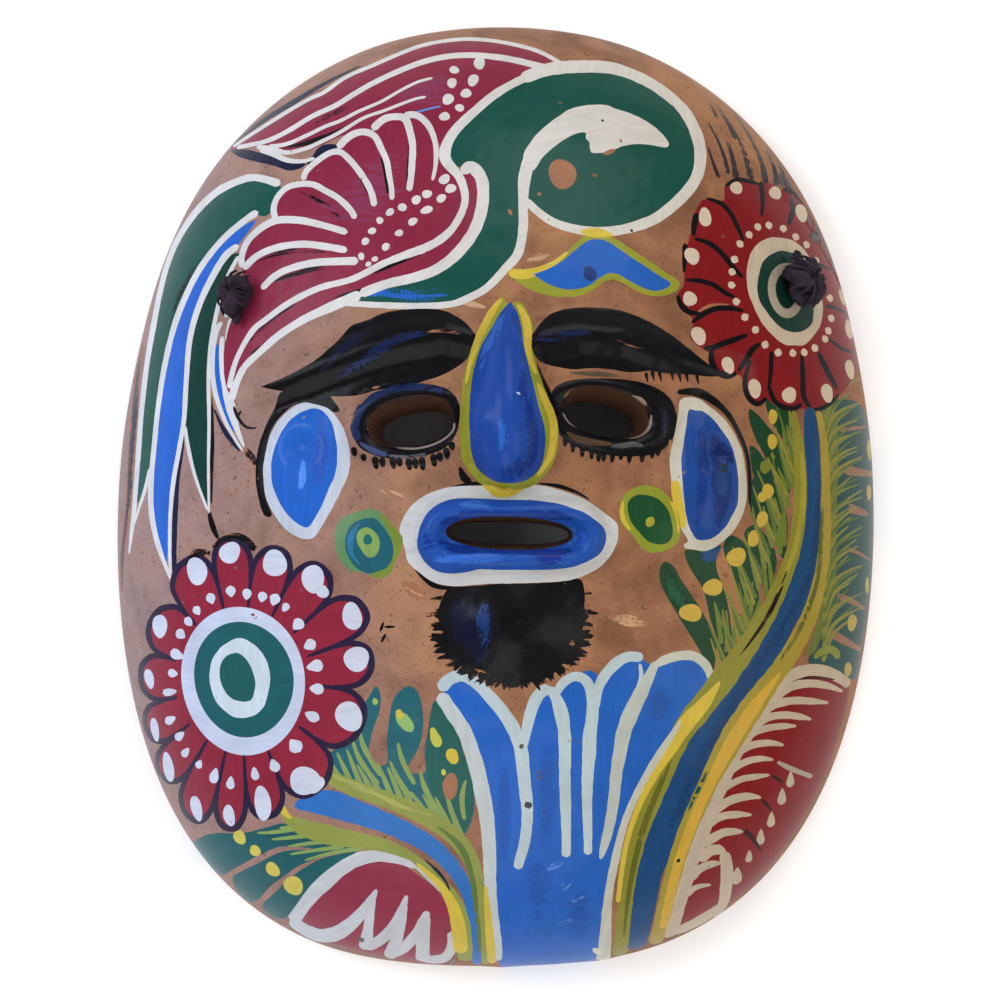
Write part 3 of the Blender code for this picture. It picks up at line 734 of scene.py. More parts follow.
def paint_bird():
    """The green bird: its head, neck and tail, the white edge round them and the white beak."""
    patch(
        GREEN, (20.8, 104.4), (25, 104.5), (30, 103.9), (35, 102), (40, 99), (44.6, 94.8), (47.4, 90.3),
        (49, 85.5), (49, 80.5), (47.8, 76), (44.7, 71.8), (40.5, 68), (36, 65), (30.5, 62.9), (25, 62.4),
        (19.8, 62.9), (15.5, 64), (12, 66), (9, 68.7), (6.8, 70), (6.4, 66), (6.3, 59.8), (5.1, 57),
        (2.3, 53.4), (0, 50.8), (-2.2, 48.7), (-6.1, 46.5), (-10, 45), (-16.2, 44.4), (-25.5, 44.8),
        (-32, 46), (-31, 47.3), (-25.6, 49.7), (-19.4, 51), (-14.3, 53), (-11.5, 54.9), (-8, 58.2),
        (-5.2, 62.2), (-3.6, 66.2), (-3, 70.3), (-3.1, 73.6), (-4.1, 76.4), (-5.6, 78.3), (-9, 78),
        (-12, 79.7), (-12.1, 83), (-10.4, 86.2), (-7.2, 89.9), (-4, 93.1), (0.1, 96.6), (5.1, 99.8),
        (10.1, 101.9), (15.4, 103.6),
    )
    patch(BLUE, (-30, 46.6), (-24, 45.3), (-14, 45.2), (-9, 46.5), (-14, 49), (-22, 49), (-28, 48), dry=0.55)
    line(
        WHITE, (2.0, 2.0, 2.2, 2.2, 2.4, 2.8, 2.0, 1.7, 1.7, 2.0, 2.1), (10.1, 102.2), (5.1, 99.9),
        (0.1, 96.7), (-4, 93.1), (-10.4, 86.2), (-12.1, 80.5), (-8.4, 75), (-7.3, 69.5), (-9.9, 63.4),
        (-13.5, 60), (-17.5, 58),
    )
    line(
        WHITE, (3.0, 3.5, 3.6, 3.4, 3.1, 3.0, 3.0, 3.1, 3.0, 2.8, 2.7, 2.6, 2.3, 2.0, 1.8), (6, 100.5),
        (13, 103.4), (20, 104.3), (28, 104.3), (35, 102), (40, 99), (45.4, 94), (48.3, 88), (49.2, 82),
        (47.8, 76), (43, 70), (36, 64.9), (25, 62.3), (14, 64.3), (6.8, 70),
    )
    line(
        WHITE, (2.0, 2.9, 3.0, 2.9, 2.9, 2.8, 2.6, 2.4, 2.3, 2.2, 2.2), (-8, 76.2), (-6.2, 78), (-4.1, 76.4),
        (-3.1, 73.6), (-3.3, 68), (-5.2, 62.2), (-9.5, 56.5), (-14.3, 53), (-19.4, 51.2), (-25.6, 49.8),
        (-32, 47.4),
    )
    line(
        WHITE, (1.2, 1.5, 1.5, 1.6, 1.7, 1.8, 2.0, 2.2, 2.2, 2.2, 3.0, 3.4, 3.0), (-36, 45.4), (-25.5, 44.7),
        (-16.2, 44.5), (-10, 45), (-6.1, 46.5), (-2.2, 48.7), (2.3, 53.4), (5.2, 57), (6.4, 63.4), (6.4, 69),
        (6.9, 76), (9.2, 82.4), (13, 86.5),
    )
    patch(
        WHITE, (6.5, 80.5), (8.5, 84.6), (11.5, 88), (15, 90.9), (17.5, 92.6), (20, 93.5), (24, 94.1),
        (27, 94), (28.5, 93.3), (32, 92.2), (35.5, 90.6), (38.5, 88.5), (40.6, 86.3), (41.5, 84.6),
        (41, 83.7), (39.5, 83.7), (37, 84.1), (33.5, 84.2), (30.5, 83.6), (28.5, 82.8), (26.3, 82),
        (25, 81.7), (22.7, 81.8), (22.3, 83.1), (22.3, 84.3), (21.4, 85.4), (21.5, 86.7), (19.5, 86.6),
        (17, 85.4), (14, 83.2), (11, 80.3), (8.6, 77),
    )
    dot(CLAY, 15.7, 76.3, 3.3, 3.7)
    dot(CLAY, 27, 82, 1.6, 0.6, 25)
    dot(CLAY, 3.3, 66.9, 0.5, 0.9, 20)
    dot(CLAY, 10.2, 71.3, 0.6, 0.5)
    dot(CLAY, 23.4, 76.2, 0.9, 0.5, 10, dry=0.6)
    dot(CLAY, 29.8, 84.9, 0.35, 0.6, 20)
    dot(NAVY, 25.5, 90, 0.4, 0.4, dry=0.4)
    dot(NAVY, 32, 62.7, 0.4, 0.5, 30, dry=0.3)


def paint_leaf():
    """The blue leaf edged in yellow between the brows."""
    patch(
        LEAF_YELLOW, (2.5, 52.3), (4, 53.2), (8.5, 53.2), (12, 54), (15, 55.8), (17, 57.6), (19, 59.8),
        (21.5, 61.6), (25, 62), (28, 60.8), (32, 58.2), (36, 55.5), (40, 52.8), (43.3, 50.6), (43, 49),
        (41, 47.6), (38, 47), (34.5, 47.6), (31, 49.4), (28.3, 50.7), (26, 50.6), (23, 48.6), (20.5, 47.2),
        (17, 46.6), (12, 47), (8, 48.4), (5, 50.2),
    )
    line(YELLOW, (2.0, 2.4, 1.4, 0.6), (3, 52.4), (7, 52), (12.5, 54), (17, 57.5), dry=0.1)
    patch(
        BLUE, (8.8, 52), (8.8, 52), (12, 53.2), (15, 54.8), (17.5, 56.8), (20, 59), (22, 60.2), (24.5, 60.5),
        (27, 59.5), (31, 56.8), (35, 54.2), (39, 51.6), (41.2, 50.2), (40, 49), (37.5, 48.3), (34.5, 49),
        (31, 50.8), (28.5, 52.2), (26.3, 52.3), (24, 51), (22, 49.5), (19.5, 48.6), (16, 48.5), (12, 49.8),
    )
    dot(DEEP_BLUE, 22, 52.2, 1.6, 1.8, dry=0.2)
    patch(YELLOW, (19.8, 62.3), (22, 63.2), (25, 63), (27.8, 61.5), (25, 60.9), (21.5, 61.2), dry=0.1)


def paint_streaks():
    """Dry dark strokes of a nearly empty brush above the right flower."""
    for width, points in (
        (2.2, ((61.8, 75), (61.3, 80), (59.8, 86), (57, 92))),
        (1.8, ((58, 75.5), (57.6, 80), (56.6, 85), (54.5, 90))),
        (1.2, ((56, 77.5), (55.2, 82), (53.5, 87), (51.5, 91))),
        (1.0, ((53.6, 76.5), (52.4, 80), (51.2, 84.5))),
        (2.0, ((65.5, 75.5), (65, 81), (63.4, 86), (61, 91))), (1.6, ((68.5, 76), (68.3, 80.5), (66.5, 86))),
        (1.4, ((71.5, 75.5), (70.6, 80), (69, 84))), (0.9, ((54, 92.5), (52.6, 96.5))),
        (1.2, ((58.5, 87), (56.5, 92), (53.8, 97))), (1.3, ((63, 87.5), (60.5, 92), (58, 96))),
    ):
        line((48, 36, 46), (width, width * 0.8, 0.4), *points, dry=0.36)
    patch(
        (48, 36, 46), (66, 74), (72, 73.5), (76, 70), (78.5, 66), (76.5, 72), (73, 78), (69, 82), (66.5, 80),
        dry=0.5,
    )


def paint_brows():
    """The black brows, the dark rings and lashes round the eyes, and painted sheen and highlights on them."""
    patch(
        BLACK, (-55.4, 25.8), (-55.4, 25.8), (-50, 27.8), (-46, 29.7), (-42, 32), (-39.3, 34.3), (-36.5, 37),
        (-33.9, 40), (-29.6, 41.5), (-26.4, 42.9), (-23.3, 43.5), (-19.4, 43.8), (-14.7, 43.8),
        (-11.5, 43.1), (-8, 41.2), (-5.3, 38.4), (-4.5, 36.5), (-5.1, 34.5), (-6.5, 32.2), (-8.8, 30.3),
        (-12.3, 28.3), (-16.2, 27), (-19.7, 25.8), (-24, 25.3), (-28.3, 24.7), (-32.2, 23.6), (-38.1, 23.4),
        (-45, 24), (-52, 25),
    )
    # The bluish streaks on the black brow are a painted sheen, where the varnished black catches the light
    line(
        (20, 36, 80), (0.8, 2.4, 2.6, 2.2, 0.8), (-37, 28), (-32, 30.6), (-26.4, 34.7), (-22, 37), (-15, 38),
        dry=0.42,
    )
    line((16, 20, 46), (0.8, 3.6, 0.8), (-41, 29), (-34, 36), (-25, 40.5), dry=0.3)
    line(CLAY, (0.4, 1.2, 0.4), (-16, 38.2), (-12, 38.6), (-8, 37.6), dry=0.72)
    strokes(
        CLAY, 0.7, ((-16.5, 26.4), (-14, 26.6)), ((-13.8, 26.9), (-11.4, 26.6)), ((-29, 25.3), (-27, 25.7)),
        dry=0.3,
    )
    patch(
        BLACK, (7.4, 36), (7.4, 36), (10, 39.8), (12.5, 42.4), (16, 43.7), (21, 44.2), (27, 43.9),
        (32, 42.6), (37, 40.4), (41, 37.9), (45, 34.8), (48.5, 32), (51.5, 29.9), (55, 28.9), (51, 28.1),
        (45, 28.6), (40, 28.8), (36, 29.3), (31, 29), (27, 29.6), (22, 29.9), (18, 29.6), (14, 30.2),
        (10.6, 31.2), (8.8, 33),
    )
    # Painted sheen: a bluish streak on the right brow
    line((20, 36, 78), (0.8, 2.2, 2.4, 0.8), (9, 36.4), (13, 37), (18, 37.8), (23, 37.6), dry=0.5)
    line(CLAY, (0.3, 0.5, 0.3), (28, 36.5), (32, 35), (35, 34.5), dry=0.7)
    line(CLAY, (1.0, 2.4, 2.2, 0.8), (35, 27.2), (39, 27.2), (43, 26.8), (46.5, 26), dry=0.42)
    for x, y in ((35, 27.6), (36.5, 28), (38.2, 27.9), (41, 28.2), (42.8, 27.8), (44.5, 27.8), (47, 27.4)):
        line(BLACK, (1.0, 0.2), (x, y + 1.3), (x + 0.6, y - 1.2), blunt=False)
    patch(
        BLACK, (-33.9, 15.8), (-32.8, 19), (-31, 22), (-28.5, 24.2), (-23.7, 25.4), (-17.8, 26.2),
        (-13, 25.6), (-10, 24), (-8.4, 20.9), (-8.6, 17), (-9.4, 14), (-11.6, 11.4), (-15.6, 9.6),
        (-20.1, 8.8), (-24.8, 8.8), (-28.3, 9.6), (-31.8, 11.6),
    )
    line(
        (30, 46, 86), (1.6, 2.2, 2.0, 1.8, 1.8, 1.8, 1.8, 1.2), (-31.9, 12.7), (-32.9, 16.2), (-31.9, 19.7),
        (-29.6, 22.5), (-25.7, 24.4), (-21, 25.4), (-16.3, 25.4), (-11.6, 24.2), dry=0.28,
    )
    # Painted highlight: blue-grey, on the lower left of the lid
    line((66, 82, 122), (0.6, 1.4, 1.0), (-31.9, 12.7), (-28.4, 10.6), (-24.9, 9.6), dry=0.3)
    line((100, 98, 106), (0.6, 1.0, 0.8), (-25, 9.5), (-20.5, 9.1), (-16, 9.8), dry=0.5)
    # Painted highlight: a pale line along the lower edge of the lid, round the opening
    line(
        (150, 134, 128), 0.5, (-30, 16), (-28.6, 14.4), (-25.4, 12.3), (-20.4, 11.1), (-16, 11.6),
        (-12.2, 13.2), (-9.9, 15.4), (-9.7, 17.4),
    )
    for x, y, reach in (
        (-33.2, 10.6, 1.4), (-31, 9, 1.0), (-28.2, 8.4, 2.2), (-26.6, 8.2, 1.6), (-24.1, 8.3, 2.0),
        (-22.6, 8.2, 1.4), (-20.4, 8, 2.0), (-18.9, 8, 1.8), (-17.3, 8.3, 2.4), (-14.6, 9, 2.2),
        (-13.2, 9.4, 1.6), (-11.6, 10.4, 2.0), (-10.4, 11.8, 1.2),
    ):
        line(BLACK, (2.0, 1.0), (x, y + 1), (x + 0.4, y - reach))
    patch(
        BLACK, (12.4, 22), (13.6, 25.2), (17, 26.9), (22, 27.4), (27, 27.4), (32, 27), (36, 26),
        (39.2, 24.4), (41.2, 22.3), (42.2, 19.5), (42.2, 16), (41, 13), (39, 11), (36.5, 9.8), (32, 9.3),
        (27, 9.5), (22, 10.3), (18, 11.8), (15.2, 13.8), (13.6, 16.5), (12.6, 19),
    )
    line((84, 62, 44), (0.6, 1.6, 1.6, 0.8), (16.2, 15), (19, 13.4), (22.5, 12.6), (27, 12.2), dry=0.3)
    line((82, 82, 82), (0.5, 1.3, 1.3, 0.6), (26.5, 11.6), (29.5, 11.8), (32, 12.2), (34.6, 11.6), dry=0.4)
    line((34, 38, 58), (1.4, 3.4, 2.8, 1.2), (38.2, 22.4), (39.6, 18.6), (39.2, 15), (37.2, 12.4), dry=0.55)
    line((132, 96, 62), (0.4, 1.4, 0.6), (15.6, 23), (18.6, 24.6), (23, 24.8), dry=0.4)
    # Painted highlight: pale, on the right of the lid
    line((150, 128, 108), (0.4, 1.2, 0.5), (31, 23.4), (33.6, 22.6), (35.4, 21), dry=0.35)
    line((96, 84, 70), (0.4, 1.4, 0.5), (17, 28.8), (23, 28.6), (29, 28), dry=0.5)
    # Painted highlight: a pale line along the lower edge of the lid, round the opening
    line(
        (140, 124, 112), (0.4, 0.7, 0.6, 0.8, 0.9, 0.7, 0.4), (15.4, 19.6), (17.4, 17), (22, 15.2),
        (28, 14.2), (32.4, 14), (35.6, 15.8), (36.2, 19.4),
    )
    line(PALE_CLAY, (0.6, 1.0, 0.4), (40.6, 13.4), (40.8, 11.6), (40.2, 9.8), dry=0.2)
    for x, y, reach in (
        (16.2, 12.8, 1.4), (18, 12, 2.0), (20.2, 11.2, 2.2), (22.4, 10.4, 2.0), (24, 9.8, 2.0),
        (25.2, 9.4, 1.4), (27.2, 9.4, 1.8), (29.2, 9.2, 1.0), (31.2, 9.2, 1.6), (34.2, 9.2, 1.4),
        (36.6, 9.8, 1.2), (38, 10.6, 1.4),
    ):
        line(BLACK, (1.7, 0.7), (x, y + 1), (x - 0.2, y - reach))
    line(BLACK, (0.8, 1.3, 1.2, 0.6), (9.1, 31), (10.7, 27), (12.2, 24), (13.4, 19.4), dry=0.15)
    line(BLACK, (0.6, 2.0, 1.4), (-8.4, 7), (-7.4, 4.4), (-5.6, 3), dry=0.15)


def paint_drops():
    """The blue drops edged in white beside the eyes, with painted shade and highlights on their relief."""
    patch(
        BLACK, (-50.5, 24.4), (-46, 25), (-40, 24.4), (-38, 22.4), (-36.4, 19.8), (-39, 20), (-42.5, 21.6),
        (-47, 21.6), (-50, 19.4), (-52.6, 16), (-54, 11), (-54.6, 5), (-54.2, 0), (-52.6, -4.6),
        (-54.4, -4.6), (-55.8, -1), (-56.6, 3.4), (-56.6, 8), (-55.6, 13), (-53.8, 17.6), (-52, 21),
    )
    patch(
        (206, 214, 222), (-45.3, 22), (-42, 21.5), (-39, 20.4), (-36.5, 17.5), (-35, 14.5), (-34.2, 11),
        (-34, 8), (-34.5, 5), (-36, 1.5), (-38, -2.5), (-40, -6), (-42, -9), (-43.8, -10), (-47, -9.3),
        (-50, -7), (-52.5, -3.5), (-54, -0.5), (-54.6, 3), (-54.7, 7), (-54, 11), (-52.8, 15), (-50.5, 18.5),
        (-48, 20.7),
    )
    patch(
        BLUE, (-44.5, 20.2), (-42, 20.6), (-40, 19.5), (-38.3, 17), (-37.3, 13), (-37, 9), (-37.4, 5.5),
        (-39, 1.5), (-40.5, -2), (-42.5, -5.5), (-44, -7.3), (-46.5, -6.3), (-49, -4), (-51, -0.8),
        (-52.3, 2.5), (-52.7, 6), (-52.4, 9.5), (-51, 13.5), (-49, 17), (-46.5, 19.3),
    )
    # Painted shade: the darker right half of the drop, turned from the light
    patch((46, 92, 182), (-43, 20), (-40, 17), (-38, 11), (-39, 4), (-41, 2), (-44, 6), (-43, 12), dry=0.3)
    # Painted highlight down the middle of the drop
    line((88, 150, 240), (0.8, 1.8, 1.0), (-45, 8.6), (-45, 4.4), (-45.6, 1.6), dry=0.3)
    line(
        BLACK, (1.0, 2.2, 1.8, 1.4, 1.2, 1.1, 1.0, 0.6), (42.4, 24.4), (47.4, 24.4), (51, 22.6),
        (54.4, 19.6), (57.2, 15), (59.2, 10), (59.9, 4), (59.9, -2),
    )
    patch(
        (214, 212, 200), (43.2, 22.6), (45, 23.3), (47.5, 23), (50, 21.3), (53, 18.8), (55, 16.5), (57, 13),
        (58.2, 10), (58.9, 6), (59.2, 3), (59.2, 0), (58.6, -3), (57.6, -5.5), (56, -8), (54, -10),
        (51.5, -11.9), (49, -12.8), (46.5, -12.5), (44, -12), (44, -11), (45, -10.6), (43.4, -7.6), (42, -3),
        (41.2, 0), (41, 4), (40.6, 8), (41.2, 12), (42, 16), (42.8, 20),
    )
    patch(
        YELLOW, (41, 3.4), (42.6, 3.6), (43.8, -2), (44.4, -6.6), (43.2, -7.6), (42, -4), (41.1, 0),
        dry=0.16,
    )
    patch(
        (30, 78, 164), (45.3, 20.4), (47, 20.1), (48.5, 20), (51, 18), (53, 15.5), (55, 12.5), (56.2, 9),
        (56.9, 5), (57, 2), (57, 0), (56.7, -2), (55.5, -4.5), (54, -7), (51.5, -9.3), (49, -10.2),
        (47, -10), (45.3, -7.5), (44.3, -4), (43.8, 0), (43.5, 4), (43.3, 8), (43.8, 12), (44.5, 16),
    )
    # Painted shade: the darker right half of the drop, turned from the light
    patch(
        (28, 56, 128), (49, 19), (52, 16), (55, 11), (56.4, 5), (56.4, -1), (54, -6), (51, -8), (50, 0),
        (49, 9), dry=0.25,
    )
    line((26, 62, 146), (1.4, 2.6, 2.4, 1.2), (48, 16), (48.4, 7), (47.6, -2), (46.6, -8), dry=0.35)
    # Painted shadow in the hollow above the knob
    patch((18, 36, 104), (50.4, 12.4), (52.6, 13), (55.4, 10.6), (56, 7.6), (53, 8.6), (50.6, 8.6), dry=0.34)
    dot((36, 74, 140), 52.8, 3.4, 2.6, 4.4, dry=0.35)
    dot((52, 56, 62), 53.4, 6.4, 1.0, 1.6, dry=0.45)


def paint_cheeks():
    """The ringed green rounds on the cheeks."""
    patch(
        (104, 146, 96), (-31, -3.2), (-28, -3), (-25.5, -4.8), (-24, -6.8), (-22.5, -8.3), (-21.6, -10),
        (-22, -12.5), (-23.5, -15), (-24, -17), (-26, -18.9), (-28.5, -18.8), (-31, -17.6), (-33.8, -17.4),
        (-36, -15.4), (-37.4, -12), (-37.4, -8), (-35.8, -5),
    )
    patch(
        (126, 146, 56), (-27, -3.6), (-25.5, -4.8), (-24, -6.8), (-22.5, -8.3), (-21.6, -10), (-22, -12.5),
        (-23.5, -15), (-24, -17), (-26, -18.9), (-28.5, -18.6), (-28.6, -17.2), (-24, -14), (-24.4, -9),
        (-26, -6), dry=0.12,
    )
    patch(
        (36, 100, 112), (-30, -5), (-28, -5.2), (-26.2, -7), (-24.6, -9.5), (-23.8, -12), (-24, -14.2),
        (-25.3, -16.5), (-28, -17.6), (-30.5, -17.8), (-33, -16), (-34.8, -13), (-35, -9.5), (-33.5, -6.5),
    )
    patch(
        (52, 122, 160), (-33, -7), (-31.5, -6), (-32.8, -9), (-33.2, -13), (-31.4, -16), (-34, -13.6),
        (-34.6, -10), dry=0.25,
    )
    patch(
        (138, 170, 92), (-30.4, -7.2), (-28.8, -7.6), (-27.2, -9.6), (-27, -11.8), (-28, -13.8),
        (-29.6, -14.2), (-31.2, -12.6), (-32.4, -10), (-32, -8),
    )
    dot((36, 110, 104), -29.8, -10, 1.0, 1.4)
    patch(
        (150, 160, 50), (32, 1.9), (34.5, 2.6), (37.5, 2.1), (40, 0.2), (42, -2.8), (43, -6), (43, -9),
        (42, -11.2), (39, -12.8), (36, -13), (33.5, -11.6), (31.5, -8.6), (29.3, -6.5), (28.8, -3),
        (29.8, 0.2),
    )
    line(YELLOW, (0.5, 1.2, 0.5), (29.6, -1), (29.4, -4.6), (31.4, -8), dry=0.35)
    line(YELLOW, (0.5, 1.2, 0.5), (40.6, -1), (42.4, -4.6), (42.6, -8.6), dry=0.35)
    patch(
        (28, 82, 46), (33, 0.4), (35.5, 0.3), (38, -0.8), (40, -3), (41, -6), (41.2, -9), (40, -10.8),
        (38, -11.2), (35.5, -10.5), (33.5, -8.5), (31.5, -6), (30.6, -3), (31, -0.8),
    )
    line((176, 168, 62), (1.6, 2.2, 1.4), (36.6, -4.8), (35.8, -6), (35, -7))


def paint_lips():
    """The blue lips edged in white, with painted shade and highlights on their relief."""
    line(BLACK, (0.4, 1.2, 0.8, 0.3), (-19, -16.6), (-14.6, -20.6), (-9, -21.3), (-4, -20.7), dry=0.1)
    line(BLACK, (0.3, 0.9, 0.3), (-10, 2.3), (-5, 3), (0, 2.9), dry=0.1)
    line(BLACK, (0.3, 1.0, 0.8, 0.3), (9.5, 3), (14.5, 2.4), (18.6, 1), (22, -0.9), dry=0.2)
    patch(
        (214, 216, 214), (-22.4, -8), (-21.5, -5), (-19.5, -2), (-16, 0.5), (-12, 1.9), (-8, 2.4), (-4, 2.5),
        (0, 2.6), (5, 2.7), (10, 2.6), (14, 1.8), (18, 0.4), (20, -0.4), (23, -2.2), (26, -4.4), (28, -6.2),
        (28.5, -8.4), (28, -11), (26.5, -14), (24, -16.6), (20, -18.6), (17, -19.5), (10, -20), (4, -20.1),
        (-2, -20.3), (-6, -20.6), (-10, -20.8), (-14, -20.1), (-18, -17.6), (-20.5, -15), (-21.2, -12),
    )
    patch(
        YELLOW, (-3.2, 2.7), (2, 3), (8.8, 3.4), (6, 1.4), (4, 0.2), (2, -0.2), (0, -0.1), (-1.6, 1),
        dry=0.05,
    )
    patch(
        (34, 86, 178), (-18.1, -9), (-17.2, -6), (-15.6, -3.5), (-13, -1.6), (-10, -0.6), (-6, -0.4),
        (0, -0.7), (5, -0.8), (10, -1), (15, -1.8), (18, -2.8), (21, -4), (23, -5.5), (25, -7.3),
        (25.6, -9.5), (25, -12), (23.5, -13.8), (20, -15.6), (17, -16.5), (12, -17), (6, -17), (0, -17),
        (-4, -16.9), (-7, -17.6), (-11, -17.9), (-14, -17.2), (-16.3, -15.5), (-17.8, -13), (-18.3, -11),
    )
    # Painted shadow: the dark blue below the ridge of the upper lip
    line(
        (26, 62, 146), (0.8, 2.4, 2.2, 2.2, 2.4, 0.8), (-13, -6.6), (-8, -4.6), (-2, -4.2), (6, -4.4),
        (13, -4.2), (18, -5.4), dry=0.3,
    )
    # Painted shade along the lower edge of the mouth
    line(
        (24, 56, 140), (0.8, 2.0, 2.4, 2.4, 2.0, 0.6), (-13.6, -10), (-9, -12.2), (-2, -11.9), (6, -12.2),
        (13, -12.8), (18, -12.4), dry=0.3,
    )
    # Painted shade in the left corner of the mouth
    dot((26, 60, 150), -15.6, -10.4, 2.0, 3.0, 20, dry=0.35)
    # Painted highlight along the lower lip
    line((54, 112, 210), (0.8, 2.6, 2.2, 0.8), (-15, -14.6), (-9, -14.6), (-3, -14.2), (5, -14), dry=0.42)
    # Painted highlight on the upper lip
    line((62, 118, 210), (0.6, 1.8, 0.8), (-9, -1.8), (-5.4, -1.7), (-1, -2.2), dry=0.35)
    # Painted highlight by the right corner of the mouth
    line((46, 98, 204), (1.6, 2.4, 1.4), (19.4, -8), (20.2, -10), (19.4, -12.4), dry=0.4)
    # Painted shade on the lower lip, below the right half of the mouth
    patch((28, 54, 150), (9.4, -12.6), (14, -12.4), (17, -13.6), (13, -15.8), (10, -15.4), dry=0.3)


def paint_beard():
    """The black beard, dabbed on with a nearly dry brush at its edge, with a painted bluish sheen on the
    chin.
    """
    patch(
        BLACK, (-11, -21.4), (-5, -20.8), (0, -20.3), (5, -20.2), (10, -20.1), (15, -19.8), (19.6, -19.2),
        (20.6, -22), (20.6, -26), (20.4, -30), (18.6, -34), (16.6, -37.4), (14.4, -40.4), (11, -42.6),
        (7, -43.6), (3.4, -44.6), (0, -42.6), (-3, -40.6), (-6.4, -39.6), (-9, -37.4), (-11, -34),
        (-12.6, -30.6), (-13.6, -27.4), (-12.6, -24),
    )
    for step in range(96):
        turn = math.radians(-202 + 2.38 * step + 2.0 * math.sin(5.3 * step))
        reach = 1.0 + 0.07 * math.sin(2.1 * step) + 0.06 * math.cos(3.7 * step)
        lean = turn + 0.5 * math.sin(1.3 * step)
        start = (3.6 + 14.6 * math.cos(turn), -31.4 + 10.6 * math.sin(turn))
        end = (start[0] + 4.6 * reach * math.cos(lean), start[1] + 3.0 * reach * math.sin(lean))
        line(BLACK, (1.9, 0.5), start, end, dry=0.3 + 0.15 * math.sin(1.9 * step))
    for start, end, width in (
        ((18, -26), (24, -27.4), 3.0), ((18, -28), (23.4, -30.6), 2.4), ((18, -31), (22.6, -33), 1.8),
        ((17, -22), (22.6, -22.6), 2.4), ((16, -33), (19.6, -37.4), 2.6), ((8, -41), (10.4, -45.4), 2.4),
        ((-9, -26), (-17, -28), 3.0), ((-9, -23), (-15.6, -24), 2.2), ((-8, -30), (-14.6, -33.4), 2.6),
        ((-7, -33), (-12, -37.6), 2.6), ((-5, -36), (-9, -40), 2.6), ((3, -41), (3, -45.4), 2.0),
    ):
        line(BLACK, (width, 0.3), start, end, dry=0.25, blunt=False)
    # Painted sheen: bluish on the left of the chin, where the black catches the light
    patch(
        (12, 18, 46), (-11, -23), (-5, -22), (0, -24), (1, -32), (-2, -40), (-7, -39), (-11, -34),
        (-13, -28), dry=0.3,
    )
    # Painted highlight: a bluish streak on the chin
    line((26, 58, 116), (1.4, 4.0, 3.6, 1.2), (-2.4, -24.6), (-2.6, -28), (-2.6, -32), (-3, -35.4), dry=0.38)
    dots(
        (46, 44, 40), 10, (6, -24.6, 2.4, 1.2), (7.4, -31, 1.8, 1.0), (7.4, -36.2, 1.6, 1.0),
        (5.6, -29, 1.2, 0.6), dry=0.8,
    )
    dot(CLAY, 17.8, -34.2, 0.8, 0.8, dry=0.3)
    for x, y, lean in ((-26.6, -30.4, 70), (-26.2, -33, 60), (-24.8, -30.4, 0)):
        dot(BLACK, x, y, 1.4, 0.35, lean, dry=0.3)


def paint_nose():
    """The blue drop of the nose with its yellow edge, with painted shade and highlights on its relief."""
    patch(
        LEAF_YELLOW, (1.4, 46.8), (1.4, 46.8), (-1, 43.6), (-2.9, 41), (-4.2, 37.5), (-6.5, 32), (-7.6, 27),
        (-8.2, 20), (-8.4, 14), (-8, 9), (-6.4, 6), (-3.6, 3), (0, 2.4), (4, 1.8), (8, 2.2), (11, 4.6),
        (13.4, 8), (14.4, 12), (14.4, 16), (13.4, 19.6), (12, 23), (10.2, 28), (8.8, 33), (8, 36), (8.6, 39),
        (7.6, 42.6), (6, 45.2), (4.6, 45.4), (3.5, 44.8), (2.4, 45.4),
    )
    line(
        YELLOW, (0.8, 1.8, 1.7, 1.4, 0.6), (1.3, 46.2), (-1.2, 42.6), (-3.3, 38.4), (-5.4, 33), (-7, 26),
        dry=0.12,
    )
    line(YELLOW, (0.8, 1.8, 2.0, 1.4, 0.8), (5, 45), (6.8, 41.6), (7.4, 38), (7.6, 33.4), (9.4, 28), dry=0.12)
    line(
        YELLOW, (0.6, 1.7, 1.9, 1.9, 1.6, 0.8), (9.6, 26.4), (11.2, 22.6), (13, 18.4), (13.4, 14), (12.4, 9),
        (9.4, 4.6), dry=0.18,
    )
    patch(
        (30, 76, 166), (3.4, 45.4), (3.4, 45.4), (1, 42.8), (-0.6, 40), (-3.4, 35), (-5, 30), (-5.8, 25),
        (-6.1, 20), (-6.1, 15), (-5.6, 10), (-4.6, 7), (-2.8, 5), (0, 3.4), (3, 3), (6, 3.4), (9, 5),
        (10.8, 8), (11.4, 12), (11.2, 16), (10, 20), (8.8, 25), (7.6, 30), (6.4, 35), (5.8, 40), (4.8, 43.4),
    )
    # Painted shade down the right side and under the nose
    patch(
        (18, 52, 134), (6, 30), (7, 29), (8.2, 24), (9.4, 19.6), (10.6, 15), (10.6, 10), (8.8, 6), (6, 4.2),
        (1, 4.4), (-2, 6.4), (1.6, 6.8), (5, 8.6), (7, 13), (6, 19), (5.2, 25), dry=0.34,
    )
    # The next three marks are painted highlights: lighter blue on the left side and low in the middle of the
    # nose, and a small glint
    line((48, 104, 196), (0.8, 2.2, 1.6, 0.8), (1.6, 42.6), (-0.4, 38), (-2.4, 34), (-3.6, 29), dry=0.42)
    line((46, 102, 200), (1.0, 3.4, 2.4, 1.0), (1.2, 18), (1.8, 14.8), (1.6, 12), (1, 10), dry=0.42)
    dot((196, 210, 236), 5.2, 23.6, 0.7, 0.3, -25, dry=0.3)


